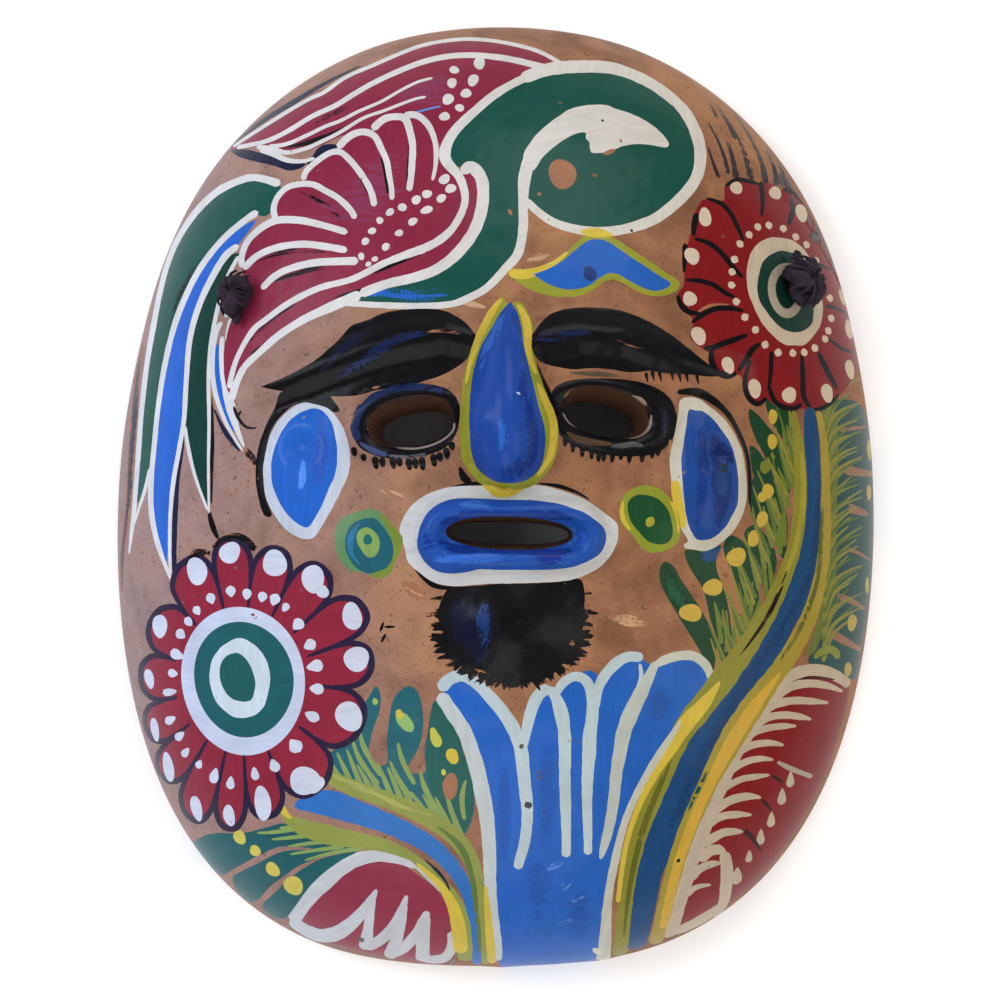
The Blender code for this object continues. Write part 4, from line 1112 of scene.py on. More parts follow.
def paint_chin():
    """The blue feathers below the beard, with their white edges."""
    patch(
        BLUE, (-12, -45.6), (-9.6, -43.4), (-6.8, -43), (-3, -46), (0.4, -50), (3.6, -54.4), (6.4, -58),
        (8, -54), (9.4, -49.4), (11.4, -46.6), (14.6, -45.6), (16.6, -43.4), (19, -42.6), (21, -40.6),
        (23.4, -41.4), (24.4, -43), (26.6, -40.8), (29.4, -38.2), (33, -37.4), (35.6, -39), (37.6, -39.8),
        (41, -38.2), (45, -37.6), (48.4, -39), (50.4, -42.4), (50, -46), (46.6, -50), (43.4, -53),
        (40.4, -58), (36.6, -64.2), (33.2, -70.4), (30.6, -76.6), (29, -83), (27.8, -90), (26.8, -97),
        (26, -104), (25.4, -110), (25.2, -116), (14, -117.6), (2, -118), (0.4, -108), (-0.4, -98), (-1, -88),
        (-1.4, -78), (-3, -70), (-5, -63), (-8, -55), (-11, -49),
    )
    dots(
        (36, 92, 182), 0, (10, -94, 4, 9), (20, -100, 4, 8), (12, -70, 2.4, 12), (38, -50, 4, 6),
        (2, -75, 1.6, 12), dry=0.4,
    )
    dots(
        SKY, 25, (16.4, -93.6, 2.6, 1.2), (19.4, -97, 3, 1.2), (17, -103, 3.4, 1.2), (14, -88, 2.4, 0.8),
        dry=0.66,
    )
    pale = (196, 214, 218)
    line(
        (204, 212, 210), (3.0, 3.4, 3.4, 3.6, 3.6, 3.8, 3.5, 3.3, 3.2, 3.0, 2.9, 2.8, 2.7, 2.8, 2.2),
        (-13.2, -46), (-10.6, -50), (-7.4, -55), (-5.6, -60), (-4.2, -65), (-3.2, -70), (-2.3, -75),
        (-1.8, -80), (-1.5, -86), (-1.4, -92), (-1.1, -98), (-0.6, -103), (-0.1, -107), (0.2, -111),
        (0.4, -114.4),
    )
    line(
        pale, (3.2, 2.8, 2.6, 2.6, 2.8, 3.0, 3.2, 3.2, 3.1, 3.0, 2.8, 2.6, 2.5, 2.4, 2.2), (-13, -45.4),
        (-11, -42.8), (-8, -41.8), (-4.8, -43.4), (-1.4, -46.8), (1.6, -50.4), (4.2, -54.6), (5.8, -59),
        (6.4, -64), (6.9, -69), (7.4, -74), (7.2, -79), (6.5, -83.4), (5.6, -86.6), (5.2, -89),
    )
    line(pale, (1.6, 2.4, 2.8, 2.8, 2.6), (6.6, -59), (7.2, -54.6), (8.4, -49.6), (10.2, -46), (12.8, -44.6))
    line(
        pale, (2.2, 2.4, 3.4, 3.0, 2.8, 2.8, 2.6, 2.3, 2.2, 2.2), (12, -44.6), (13.8, -46.6), (15.2, -50.4),
        (16, -55), (16.2, -60), (16.2, -66), (16.4, -72), (16.6, -78), (16.7, -83), (16.7, -86),
    )
    line(
        pale, (1.8, 2.2, 2.2, 2.4, 2.6, 2.8, 3.2, 3.2, 2.8, 2.5, 2.3, 2.1, 2.0), (14, -46.4), (15.6, -43.6),
        (18.4, -42), (21, -43), (22.4, -46.4), (22.6, -51), (22, -56), (21.9, -60), (21.6, -65), (21.5, -70),
        (21.6, -75), (21.8, -80), (21.9, -85.4),
    )
    line(
        pale, (1.8, 2.4, 2.6, 2.6, 2.2), (23.4, -50), (24, -44.6), (26.6, -40.4), (30.4, -37.6),
        (34.6, -37.8),
    )
    line(
        (198, 206, 198), (1.6, 2.6, 3.4, 3.8, 3.6, 3.2, 2.8, 2.7, 2.6, 2.4, 1.8, 0.6), (37.6, -38.6),
        (36, -42), (33.8, -46.4), (31.6, -51), (30, -55.4), (29.2, -60), (28.4, -65), (28, -70), (27.4, -75),
        (26.5, -80), (25.5, -84), (24.9, -86.6),
    )
    line(pale, (0.8, 1.0, 0.6), (33.6, -39), (34, -42), (33, -45))
    line(
        (206, 210, 198), (1.2, 2.2, 2.2, 2.2, 2.2, 1.4), (36.8, -40), (39.4, -38.4), (43, -37.4),
        (46.6, -37.6), (49.6, -40), (50.8, -43.8),
    )
    dot((70, 72, 74), 7.6, -72.8, 0.9, 1.1, dry=0.35)
    dot((96, 84, 74), 6, -58.6, 0.6, 0.7, dry=0.45)
    dot((92, 96, 96), 18.6, -57.4, 2.2, 0.7, dry=0.55)
    dot((92, 96, 96), 10, -65.6, 0.7, 1.2, dry=0.55)


def paint_bands():
    """The blue and yellow bands that run down both sides of the chin."""
    line(
        (50, 118, 192), (1.6, 4.5, 7, 6, 5.2, 4.8, 4.4, 4, 3.4, 2.6, 2.2, 2.4), (-48, -73.8), (-44, -72.9),
        (-39.5, -72.8), (-34, -74.5), (-28, -76.6), (-22.4, -79), (-16, -82.6), (-11.4, -87), (-8.4, -91.4),
        (-6.4, -97), (-5.3, -104), (-4.6, -116),
    )
    line(
        (150, 158, 74), (0.8, 2.6, 3.6, 4, 3.8, 4, 4.2, 4.2, 4, 3.2, 2.6, 2.4, 2), (-43, -62.4), (-41, -65),
        (-38, -67), (-34, -68.8), (-28.6, -70.6), (-22, -73.2), (-16, -76.2), (-10.6, -80), (-7, -84.4),
        (-4.8, -90), (-3.8, -97), (-3.1, -104), (-2.4, -115.6),
    )
    line(
        YELLOW, (0.6, 1.6, 2.0, 2.2, 2.0), (-2.6, -93), (-2, -100), (-1.6, -106), (-1.2, -111), (-1, -115.4),
        dry=0.15,
    )
    line((176, 178, 96), (0.6, 1.8, 1.4, 0.6), (-40, -65), (-33, -68.4), (-24, -72.4), (-15, -75.4), dry=0.3)
    line(
        (98, 122, 56), (0.4, 1.6, 1.4, 1.2, 0.8), (-14, -78), (-8.6, -83), (-6.2, -89), (-4.8, -98),
        (-3.8, -112), dry=0.3,
    )
    line(
        (152, 160, 74), (1, 2.2, 4.4, 5, 4, 3.2, 2, 1.4, 2, 3.4, 4.2, 4, 3.6), (-51.4, -73.4),
        (-50.2, -76.4), (-46, -79), (-40, -80.6), (-33, -81.8), (-26, -83.2), (-19.6, -86), (-15.4, -89.4),
        (-12.2, -93), (-9.8, -97.4), (-8.4, -103), (-7.8, -108), (-7.6, -114.6),
    )
    line(
        YELLOW, (0.8, 1.4, 1.8, 3.0, 3.6, 3.6), (-19, -87.4), (-15.8, -90.4), (-12.6, -94), (-10.2, -99),
        (-9, -105), (-8.6, -112), dry=0.1,
    )
    line(YELLOW, (1.6, 1.6, 0.6), (-51.2, -73.6), (-50.4, -75.4), (-48.6, -77), dry=0.2)
    line(NAVY, (0.3, 0.9, 0.7, 0.3), (-17, -86.4), (-13.8, -89.6), (-11.8, -92.4), (-11, -95), dry=0.4)
    line(
        (26, 78, 134),
        (2.6, 4, 4.2, 4.2, 4.4, 4.6, 5.7, 6.2, 6.8, 6.8, 6.8, 7, 7.8, 8, 7.5, 6.9, 7.2, 7.3, 7.6, 7.3, 7.2,
         7, 6.6, 6.2, 6),
        (75.2, 21.5), (75.6, 15), (75.9, 10), (76.1, 5), (76.2, 0), (76.1, -5), (75.4, -10), (74.6, -15),
        (73.2, -20), (71, -25), (68, -30), (65, -35), (62, -40), (58.4, -45), (54.4, -50), (51.2, -55),
        (48.2, -60), (46, -65), (44.2, -70), (42, -75), (39.8, -80), (38.2, -85), (36.6, -91), (35.4, -100),
        (34, -112),
    )
    line(
        (22, 66, 118), (0.8, 2.4, 2.8, 3.2, 3.2, 3.0, 2.0), (77, 8), (77, -6), (74.6, -20), (67, -33),
        (56, -49), (47, -66), (41, -80), dry=0.4,
    )
    line(
        (148, 146, 52),
        (1.2, 2.5, 3.2, 3.4, 3.4, 4, 4.4, 4.8, 5.4, 6, 6, 5.4, 4.6, 4.8, 4.8, 4.6, 4.4, 4, 3.7, 3.6, 3.6),
        (71, 20.6), (72, 14), (72.7, 6), (72.5, -3), (71.2, -12), (68.6, -19), (65.6, -25.6), (62, -31.6),
        (58, -37.6), (53.8, -43), (48.6, -49.6), (44.4, -55), (42, -60), (39.8, -65), (37.7, -70),
        (35.8, -75), (34, -80), (32.7, -86), (31.6, -93), (31, -101), (30.6, -114),
    )
    line(
        YELLOW, (0.6, 3.0, 4.0, 3.4, 1.8, 1.4, 1.2, 1.2), (53, -43.6), (49.4, -48.6), (45, -53.4),
        (42, -58.2), (38, -65), (34, -73), (31, -83), (29.4, -98), dry=0.15,
    )
    line(
        (172, 164, 60), (0.5, 1.5, 1.6, 1.4, 0.5), (72.6, 14), (73.4, 4), (72.8, -6), (70.4, -15),
        (66.6, -23), dry=0.25,
    )
    line(
        (104, 108, 34), (0.4, 1.4, 1.6, 1.4, 1.2, 0.5), (41.6, -62), (38.6, -69), (35.6, -77), (33.6, -85),
        (32, -95), (31.2, -108), dry=0.3,
    )
    line(
        (206, 208, 196), (0.5, 1.3, 1.8, 1.8, 1.7, 1.8, 1.8, 2.0, 2.0, 2.2, 2.8, 3.8), (43.6, -52.6),
        (42, -55.4), (39, -60), (35.8, -65.4), (33, -71), (31, -76), (29.6, -81), (28.4, -87), (27.4, -93),
        (26.8, -99.4), (26.7, -106), (26.6, -115.8),
    )
    line(WHITE, (1.0, 1.6, 1.4), (23.8, -110.6), (24.6, -111.6), (26, -113))
    line(
        BLACK, (0.4, 1.0, 1.2, 0.8, 0.3), (69.3, -17.6), (67.6, -22), (65, -27.6), (61.6, -32.6),
        (56.6, -39), dry=0.45,
    )
    line(
        (176, 158, 62),
        (1.6, 2, 2.6, 3, 3.4, 4, 4.4, 4.6, 4.8, 6, 6.2, 5.4, 4.6, 4.6, 4.4, 4.2, 4.2, 4, 3.8, 3.6, 3.6),
        (77.6, 20.6), (79, 12), (79.3, 0), (79.2, -10), (78, -19), (76.2, -26), (73.6, -32), (69.8, -38.4),
        (65.8, -43.6), (61, -50), (57, -56), (53.6, -62), (50.6, -68), (48, -74), (45.6, -80), (43.8, -86),
        (42.6, -91), (41.6, -96), (40.8, -101), (40.2, -105), (39.4, -111),
    )
    line(
        (220, 180, 70), (0.6, 3.2, 3.4, 2.6, 2.6, 2.4, 2.2), (68, -42), (61.6, -50), (56, -58.6),
        (51, -68.4), (46.6, -79), (43.4, -90), (40.8, -106), dry=0.12,
    )
    line(
        (104, 108, 40), (0.4, 1.4, 1.4, 1.2, 0.6), (77.8, 10), (78.2, -6), (77, -20), (73, -31), (67, -40),
        dry=0.35,
    )
    dot(BLACK, 43.8, -87.4, 0.5, 0.6)
    dot(GREEN, 48, -70, 0.5, 6, -24, dry=0.6)


def paint_shells():
    """The red shells with white ribs low on both sides."""
    patch(
        RED, (86.6, -46), (82, -43.4), (76, -42), (71, -43), (66, -46.4), (62.6, -51), (58.6, -57.4),
        (55.4, -63.6), (52.8, -70), (50.6, -76), (48.8, -82), (47.2, -88), (45.8, -95), (44, -101),
        (42.2, -108), (50, -106), (58, -101), (66, -94), (72, -86), (77.4, -77), (82, -67), (85.4, -56),
    )
    bone = (204, 190, 172)
    line(
        bone, (1.8, 3.0, 3.4, 3.8, 4.4, 4.6, 4.4, 4.2, 4.0, 4.2, 4.6), (66.4, -46), (63.4, -51),
        (59.8, -56.6), (56, -63), (53.2, -69), (50.8, -75), (48.9, -81), (47, -87), (45.4, -94),
        (43.8, -100.6), (42.2, -109),
    )
    line(bone, (1.6, 2.8, 3.0, 2.8, 2.4), (65.6, -46.6), (70, -43.2), (75.4, -41.8), (81, -42.8), (87, -46.4))
    line((72, 20, 20), (0.3, 0.9, 0.3), (70, -45), (75.4, -43.6), (82.6, -44.6))
    for width, points in (
        (2.0, ((65, -49.4), (70, -45.8), (75, -45), (80, -45.8), (85, -47.8))),
        (1.9, ((62, -53), (66, -50), (71, -49), (76, -49.4), (81, -50.2))),
        (1.8, ((60.6, -55.2), (65, -52.8), (69, -52.4), (73, -53), (76.4, -54))),
        (1.7, ((58, -59), (61.6, -56.2), (65.4, -55.3), (69, -55.1), (72.5, -55.3))),
        (1.7, ((55.8, -62.6), (60, -59.7), (65, -59), (69.4, -59.9))),
        (1.6, ((54.2, -66.6), (59, -63.6), (63, -62.8), (66.8, -63.3))),
        (1.5, ((53, -70.4), (58.4, -67.7), (62, -67.2), (66, -67))),
        (2.0, ((51.4, -75.6), (56, -72.8), (60.3, -72), (64, -72.6))),
        (1.8, ((50.6, -78.6), (54, -76.7), (58, -76.4), (61.8, -76.8))),
        (2.0, ((49.6, -83.6), (54.4, -80.9), (57, -80.7), (59.8, -81))),
        (2.6, ((48.8, -87.8), (51.4, -85.4), (53.8, -85.2), (55.8, -87))),
        (2.0, ((47, -92.6), (49, -90), (52, -88.8), (54.6, -88.8))),
        (1.4, ((46, -97), (48.4, -94.8), (52.4, -94.4))),
    ):
        line(bone, [width * share for share in (1.3, 1.1, 1.0, 0.9, 0.5)[: len(points) - 1]] + [0.6], *points)
    line(bone, (2.6, 3.2, 3.2, 3.0, 2.6), (55, -85.8), (56, -90), (56.2, -95), (56, -100), (54, -104.6))
    line(bone, (2.4, 3.2, 3.4, 3.0), (43.4, -107.4), (48, -105.8), (53, -103), (57, -100.4))
    line((186, 172, 164), (0.9, 1.3, 1.1), (67.6, -63.8), (71.5, -65.9), (77.5, -68.6))
    for x, y, across, along in (
        (71.3, -68.5, 1.1, 2.1), (69.3, -72.7, 1.2, 2.2), (66.8, -78.4, 1.1, 2.1), (64.3, -82.7, 1.1, 2.2),
        (61.6, -87.6, 0.95, 1.7), (58.8, -92.6, 1.4, 2.5),
    ):
        line(
            bone, (0.2, across * 1.3, across * 2, across * 1.8), (x, y + along), (x, y + along * 0.4),
            (x, y - along * 0.3), (x, y - along),
        )
    strokes(
        (60, 14, 18), (0.8, 1.0, 0.4), ((66.4, -67.2), (67.8, -68), (69.4, -69.4)),
        ((64, -73.2), (65.6, -74.6), (66.8, -76.4)), ((60, -80.4), (61.8, -82), (63.4, -84.2)),
        ((60, -81), (63, -84), (65, -87)), dry=0.2,
    )
    patch(
        (152, 52, 74), (-49, -107), (-47, -102), (-43, -96.4), (-38.4, -91), (-33.6, -87.6), (-29, -86.6),
        (-24, -86.8), (-18.6, -90.4), (-14, -94.5), (-11, -99.5), (-10, -104), (-10, -110), (-12, -115.6),
        (-24, -114.6), (-36, -111.4),
    )
    ash = (206, 208, 208)
    line(
        ash, (3.4, 3.8, 4.4, 3.8, 3.0, 2.4, 1.2), (-50, -104.6), (-46, -98), (-41, -92.4), (-35.6, -87.8),
        (-29.4, -85.8), (-23.4, -86.4), (-19, -88.6),
    )
    line((200, 206, 200), (0.4, 1.0, 0.4), (-20, -87.6), (-16, -91.4), (-13, -95))
    line(
        ash, (3.4, 4.6, 4.2, 3.6, 2.8, 2.0, 0.8), (-50.6, -104), (-44.6, -108), (-40, -107.4), (-36, -104.6),
        (-32.4, -100.6), (-30, -97), (-28.6, -94.2),
    )
    line(ash, (1.2, 2.2, 2.8, 3.0), (-29.4, -96.6), (-30.6, -102), (-31.4, -107), (-32.6, -111.6))
    line(
        ash, (3.4, 2.8, 2.6, 2.2, 0.8), (-32.6, -110.8), (-28.4, -108.4), (-25, -104.4), (-22.8, -100),
        (-21.4, -95.6),
    )
    line(ash, (1.2, 2.4, 3.0, 3.2), (-21.8, -98), (-23, -103.6), (-24.4, -108.4), (-26.4, -113.4))
    line(
        ash, (3.4, 3.0, 2.6, 2.4, 1.6), (-27.4, -113.4), (-22.6, -110.4), (-19.6, -106.6), (-17.6, -102.6),
        (-16.4, -99.8),
    )
    line(ash, (1.8, 2.8, 3.4, 3.6), (-16.6, -101), (-17.4, -105.6), (-17.9, -110), (-18, -115))
    line(ash, (3.0, 2.8, 2.6, 2.2), (-18, -114), (-13, -113.6), (-10.8, -110), (-10.8, -105.4))
    dot((96, 96, 96), -33, -108.4, 0.9, 0.8, dry=0.35)
    line((120, 116, 112), 0.9, (-10, -113.6), (-11.4, -116), dry=0.3)


def paint_left_leaves():
    """The teal leaves low on the left, with yellow spots and pale stalks."""
    teal = (32, 96, 98)
    patch(
        teal, (-75.6, -87), (-72, -83.4), (-68, -81.9), (-62, -81.4), (-58, -80.4), (-54, -79), (-50, -78.2),
        (-42, -82), (-34, -84), (-40, -85), (-46, -84), (-52, -84.2), (-56, -86), (-60, -88.4), (-64, -91),
        (-68, -93.6), (-72, -92),
    )
    patch(
        teal, (-64.8, -93.6), (-62, -91.4), (-57, -88.4), (-52, -85.6), (-46, -84.6), (-38, -84.6),
        (-42, -86.4), (-47, -88.6), (-51, -91.6), (-55, -95), (-58.6, -99.2), (-61.4, -100.6), (-64, -97.6),
    )
    patch(
        teal, (-57.6, -101), (-54.4, -97), (-50, -92.6), (-46, -89.2), (-41, -86.4), (-33, -84.6),
        (-37, -87), (-42, -91), (-45.6, -95), (-49, -100), (-52, -103.8), (-55, -104),
    )
    patch(
        (32, 88, 92), (-56, -80.6), (-50, -78.4), (-44, -81.4), (-38, -83.4), (-46, -83.6), (-53, -83.2),
        dry=0.2,
    )
    patch(
        (38, 104, 112), (-43.6, -63.4), (-40, -61), (-36.6, -58.4), (-34, -54.4), (-31.6, -50),
        (-29.6, -46.6), (-28, -44.2), (-27, -46.4), (-27.2, -50), (-28.6, -54), (-29.6, -58), (-29.8, -62.4),
        (-25.8, -63), (-25.6, -57), (-25, -52), (-24.2, -48), (-22.5, -45.6), (-20.4, -44.2), (-18.5, -45.4),
        (-17.3, -48.6), (-17, -53), (-17.6, -57.4), (-18.8, -60.4), (-20.8, -64.4), (-16.8, -65),
        (-16.8, -60), (-16.2, -56), (-15.2, -51.6), (-14.6, -48), (-12.2, -48), (-10.6, -51.4), (-9.2, -55),
        (-7.8, -59.5), (-6.3, -64), (-5.2, -69), (-5.2, -74), (-6.2, -78), (-8.4, -80.6), (-12, -79),
        (-18, -75), (-26, -71.6), (-34, -68.8), (-39, -66.4),
    )
    patch(
        (34, 98, 88), (-14.6, -48.4), (-12.4, -48.4), (-10.4, -52), (-8.8, -56), (-7.4, -60.6), (-6, -65),
        (-5.4, -70), (-5.6, -75), (-8, -80), (-12, -76), (-15, -70), (-16.4, -64), (-16, -56), dry=0.1,
    )
    pale = (142, 164, 92)
    for x, y in (
        (-39.6, -66), (-37.2, -67), (-34.8, -68), (-32.4, -69), (-30, -69.6), (-27.6, -70.6), (-25.2, -71.4),
        (-22.8, -72.4), (-20.2, -73.4), (-17.4, -74.8), (-14.6, -76.4), (-11.6, -78.4), (-9, -80.4),
    ):
        rise = 7.6 + 2.2 * math.sin(1.9 * x)
        line(pale, (1.5, 1.1, 0.5), (x + 1, y - 0.6), (x - 1, y + rise * 0.5), (x - 2.8, y + rise), dry=0.08)
    strokes(
        pale, (0.6, 1.3, 1.0), ((-32, -55), (-31, -59), (-27, -66)),
        ((-33.8, -57), (-32, -62), (-27.6, -68)), ((-23, -57.6), (-22, -62), (-19, -68)),
        ((-25, -62), (-23, -66.6), (-19.6, -71.4)), ((-11.6, -70.4), (-10.6, -74), (-9, -79)),
        ((-7, -66.6), (-8, -71), (-7.4, -76.6)), ((-17.8, -64.6), (-16.6, -69), (-12.6, -76)), dry=0.08,
    )
    line((150, 190, 110), (2.0, 3.0, 2.8, 1.4), (-23, -50.6), (-22, -52), (-20.4, -54), (-19.6, -55.2))
    dot(YELLOW, -22.6, -51, 0.9, 1.3, dry=0.25)
    line((206, 204, 84), (1.0, 2.4, 2.2), (-15, -54), (-14.2, -56.6), (-13.2, -58.8))
    line(YELLOW, (2.6, 3.2, 1.8), (-11.4, -59.4), (-10.4, -60.6), (-9.6, -63))
    line((206, 204, 84), (1.0, 1.2), (-12.4, -64), (-12.2, -65.8))
    dot((166, 192, 96), -28.3, -48, 0.7, 0.9)
    patch(CLAY, (-12.6, -68), (-11.6, -65.6), (-10, -65), (-9, -67), (-9.6, -70.6), (-11.4, -71.6))
    for x, y, across, along, lean in (
        (-62, -82.4, 1.5, 2.0, 30), (-58.2, -85.6, 1.5, 1.4, 0), (-54, -90.2, 1.6, 2.1, 20),
        (-49, -94.2, 2.3, 2.7, 30),
    ):
        dot((216, 200, 88), x, y, across, along, lean)
    strokes(
        (142, 166, 90), (0.5, 0.9, 1.2), ((-57.6, -80.9), (-54, -80.6), (-48, -79.4)),
        ((-54, -82.4), (-50, -81.8), (-45, -81)), ((-50, -84), (-46, -83.2), (-40, -82.2)),
        ((-49.6, -86), (-44, -84.8), (-36, -83.4)), ((-46, -87.4), (-40, -85.4), (-31, -83.6)),
        ((-52, -79.4), (-49, -79), (-45, -78.8)), dry=0.1,
    )


def paint_right_leaves():
    """The green leaves low on the right, with yellow spots, and the fringe of leaves at the right edge."""
    leaf = (24, 70, 42)
    for points in (
        ((39.3, -15.2), (38.2, -17), (38.3, -19.5), (39.5, -22.5), (41.5, -26), (44, -30), (46.5, -34),
         (49, -38), (51.2, -41), (51.8, -37), (51.7, -34), (50, -30), (47.5, -25.5), (45.5, -22.5),
         (43, -19), (41.5, -16.3)),
        ((44.2, -12.6), (44.8, -15.5), (46.5, -18.5), (48.5, -21.5), (49.5, -25), (50.3, -28.5), (51.5, -32),
         (53, -35.5), (55, -38.8), (56, -36), (55.5, -31), (54.8, -26), (53.5, -21.5), (52, -17.5),
         (51.8, -14.6), (53, -11.4), (49, -12.6)),
        ((54.6, -9.2), (53.5, -12), (54.5, -15.5), (55.8, -19), (57, -23), (58.5, -28), (58.2, -33),
         (60.5, -31), (62.3, -27), (62.2, -23), (61.5, -18), (60.3, -14), (58.5, -11), (56.8, -9.6)),
        ((59.5, -7.3), (58.5, -9), (60, -12), (61.5, -15.5), (62.8, -19), (63.8, -24), (65.4, -20),
         (66.7, -16), (66.2, -13), (65, -10.5), (63, -8.3), (61.3, -6.8)),
        ((59.8, -1), (60.2, 3), (62, 5.5), (64.5, 5), (66.5, 2.5), (68, -1), (69.2, -5), (69.4, -10),
         (68.4, -15), (66.8, -12), (65.5, -9), (64, -7), (62, -6.1), (60.3, -3.5)),
        ((59.9, 20.8), (62, 19.4), (64, 17.2), (66.5, 14.4), (68.5, 11), (70.6, 8), (70.4, 3), (69.3, 0),
         (67, 3), (65, 6.5), (63.4, 10), (61.3, 14), (59.9, 18)),
        ((64.2, 23), (66.5, 21.5), (69, 20.5), (71.4, 21), (71.4, 16), (70.6, 11), (68, 14), (66, 16.8),
         (64.5, 19.5)),
        ((60.1, 12), (62, 11), (64.5, 7.2), (66, 4), (64, 2.5), (61, 5), (60.1, 9)),
    ):
        patch(leaf, *points)
    patch((30, 92, 60), (39.6, -16), (43, -21), (46, -26), (44, -28), (40, -22.6), dry=0.45)
    patch((36, 78, 130), (48.6, -12.6), (53, -11.2), (52.6, -14), (50, -16), (48, -14.6), dry=0.25)
    stalk = (112, 132, 50)
    strokes(
        stalk, (0.5, 1.0, 1.4), ((51.4, -24.6), (52.4, -29.6), (53.2, -35)),
        ((54.2, -26.6), (54.6, -32), (54.4, -37)), ((56, -30), (56.2, -33), (55.4, -38)),
        ((58.8, -20), (58.9, -26), (57, -33)), ((60.6, -20), (60.4, -26), (58.6, -31.6)),
        ((62.6, -24), (61.8, -27), (60, -31)), ((62.6, -13.6), (63.6, -18), (64, -24)),
        ((64, -12), (65, -17), (65.6, -22)), ((66, 0), (67.4, -6), (67.4, -14)),
        ((64.6, -2), (66, -7), (66.8, -12)), ((67.4, 2), (68.4, -4), (68.6, -12)),
        ((68.2, 17), (69.2, 10), (70.6, 2)), ((70, 20), (70.4, 12), (71, 4)),
        ((66.8, 7), (68.6, 3), (69.6, -3)), dry=0.1,
    )
    for turn in range(34):
        x, y = 53 + 0.55 * turn, -44 + 1.55 * turn + 0.004 * turn**2
        rise = 11 + 3.5 * math.sin(2.3 * turn)
        lean = 2.6 + 1.4 * math.sin(1.7 * turn)
        line(
            FRINGE[turn % 3], (0.9, 0.7, 0.3), (x + 1.6, y - 1), (x - 0.3 * lean, y + rise * 0.5),
            (x - lean, y + rise), dry=0.12,
        )
    dots(
        (208, 178, 72), -8, (45.7, -27.3, 2.6, 2.2), (51, -21.4, 2.3, 2.1), (56.7, -14.3, 2.3, 2.3),
        (60.8, -10, 1.4, 1.9), (63, -5.4, 1.4, 2.0), (64.4, 1.2, 1.4, 2.0), (63.1, -0.1, 1.2, 1.3),
        (65.6, 13, 1.2, 1.9), (65.8, 19, 1.1, 1.8),
    )
    dot((126, 132, 50), 63.8, 7, 1.3, 1.7)
    line((126, 132, 50), (0.6, 1.2), (65.2, 10.4), (66.2, 8.8))
    patch(
        (38, 84, 84), (78, 21.6), (84, 23.6), (90, 22.4), (93.4, 14), (94.8, 0), (94.4, -12), (92.4, -26),
        (90.6, -38), (89, -45), (84, -43.2), (79, -40.6), (75, -39.8), (77.4, -34), (78.8, -26), (79.4, -14),
        (79.6, 0), (79, 12),
    )
    patch(
        (112, 124, 56), (78, 20), (82, 20.6), (82.8, 10), (82.4, 0), (82.2, -10), (82, -20), (79.6, -30),
        (76.6, -37.6), (74.6, -38), (77.2, -30), (79, -18), (79.4, 0), dry=0.12,
    )
    for width, points in (
        (1.0, ((83.4, 16), (87, 16.6), (91.4, 17.2))), (2.4, ((84.8, 6.6), (87.6, 6), (93.4, 5.6))),
        (2.4, ((85.6, -2.8), (88, -3.4), (91.4, -4.4))), (0.9, ((84.4, -12.8), (88, -13.6), (92.4, -15.8))),
        (1.7, ((82.6, -24.2), (86, -25.2), (91, -27.8))), (2.2, ((80.6, -32.8), (84.6, -35), (90, -37.8))),
    ):
        line((160, 118, 96), (width, width * 0.9, width * 0.5), *points, blunt=False)
    for turn in range(48):
        y = -38 + 1.2 * turn
        rise = 8.5 + 2.4 * math.sin(1.9 * turn)
        reach = 9 + 2.2 * math.sin(2.7 * turn)
        line(
            FRINGE[turn % 3], (1.3, 0.9, 0.3), (79, y - 2), (79 + 0.3 * reach, y + rise * 0.55),
            (79 + reach, y + rise), dry=0.12,
        )
    line(
        (140, 150, 62), (1.2, 1.8, 2.0, 2.0, 1.6), (76.6, -39), (78.6, -37.4), (81, -37), (82.6, -38),
        (83, -39.6),
    )
    dots(
        (196, 178, 84), 0, (92.4, 11.6, 0.9, 2.4), (92, 1, 0.9, 1.9), (91.6, -22, 0.7, 2.0),
        (87, -30.8, 1.5, 2.0), (86.2, -42.4, 1.2, 1.7),
    )


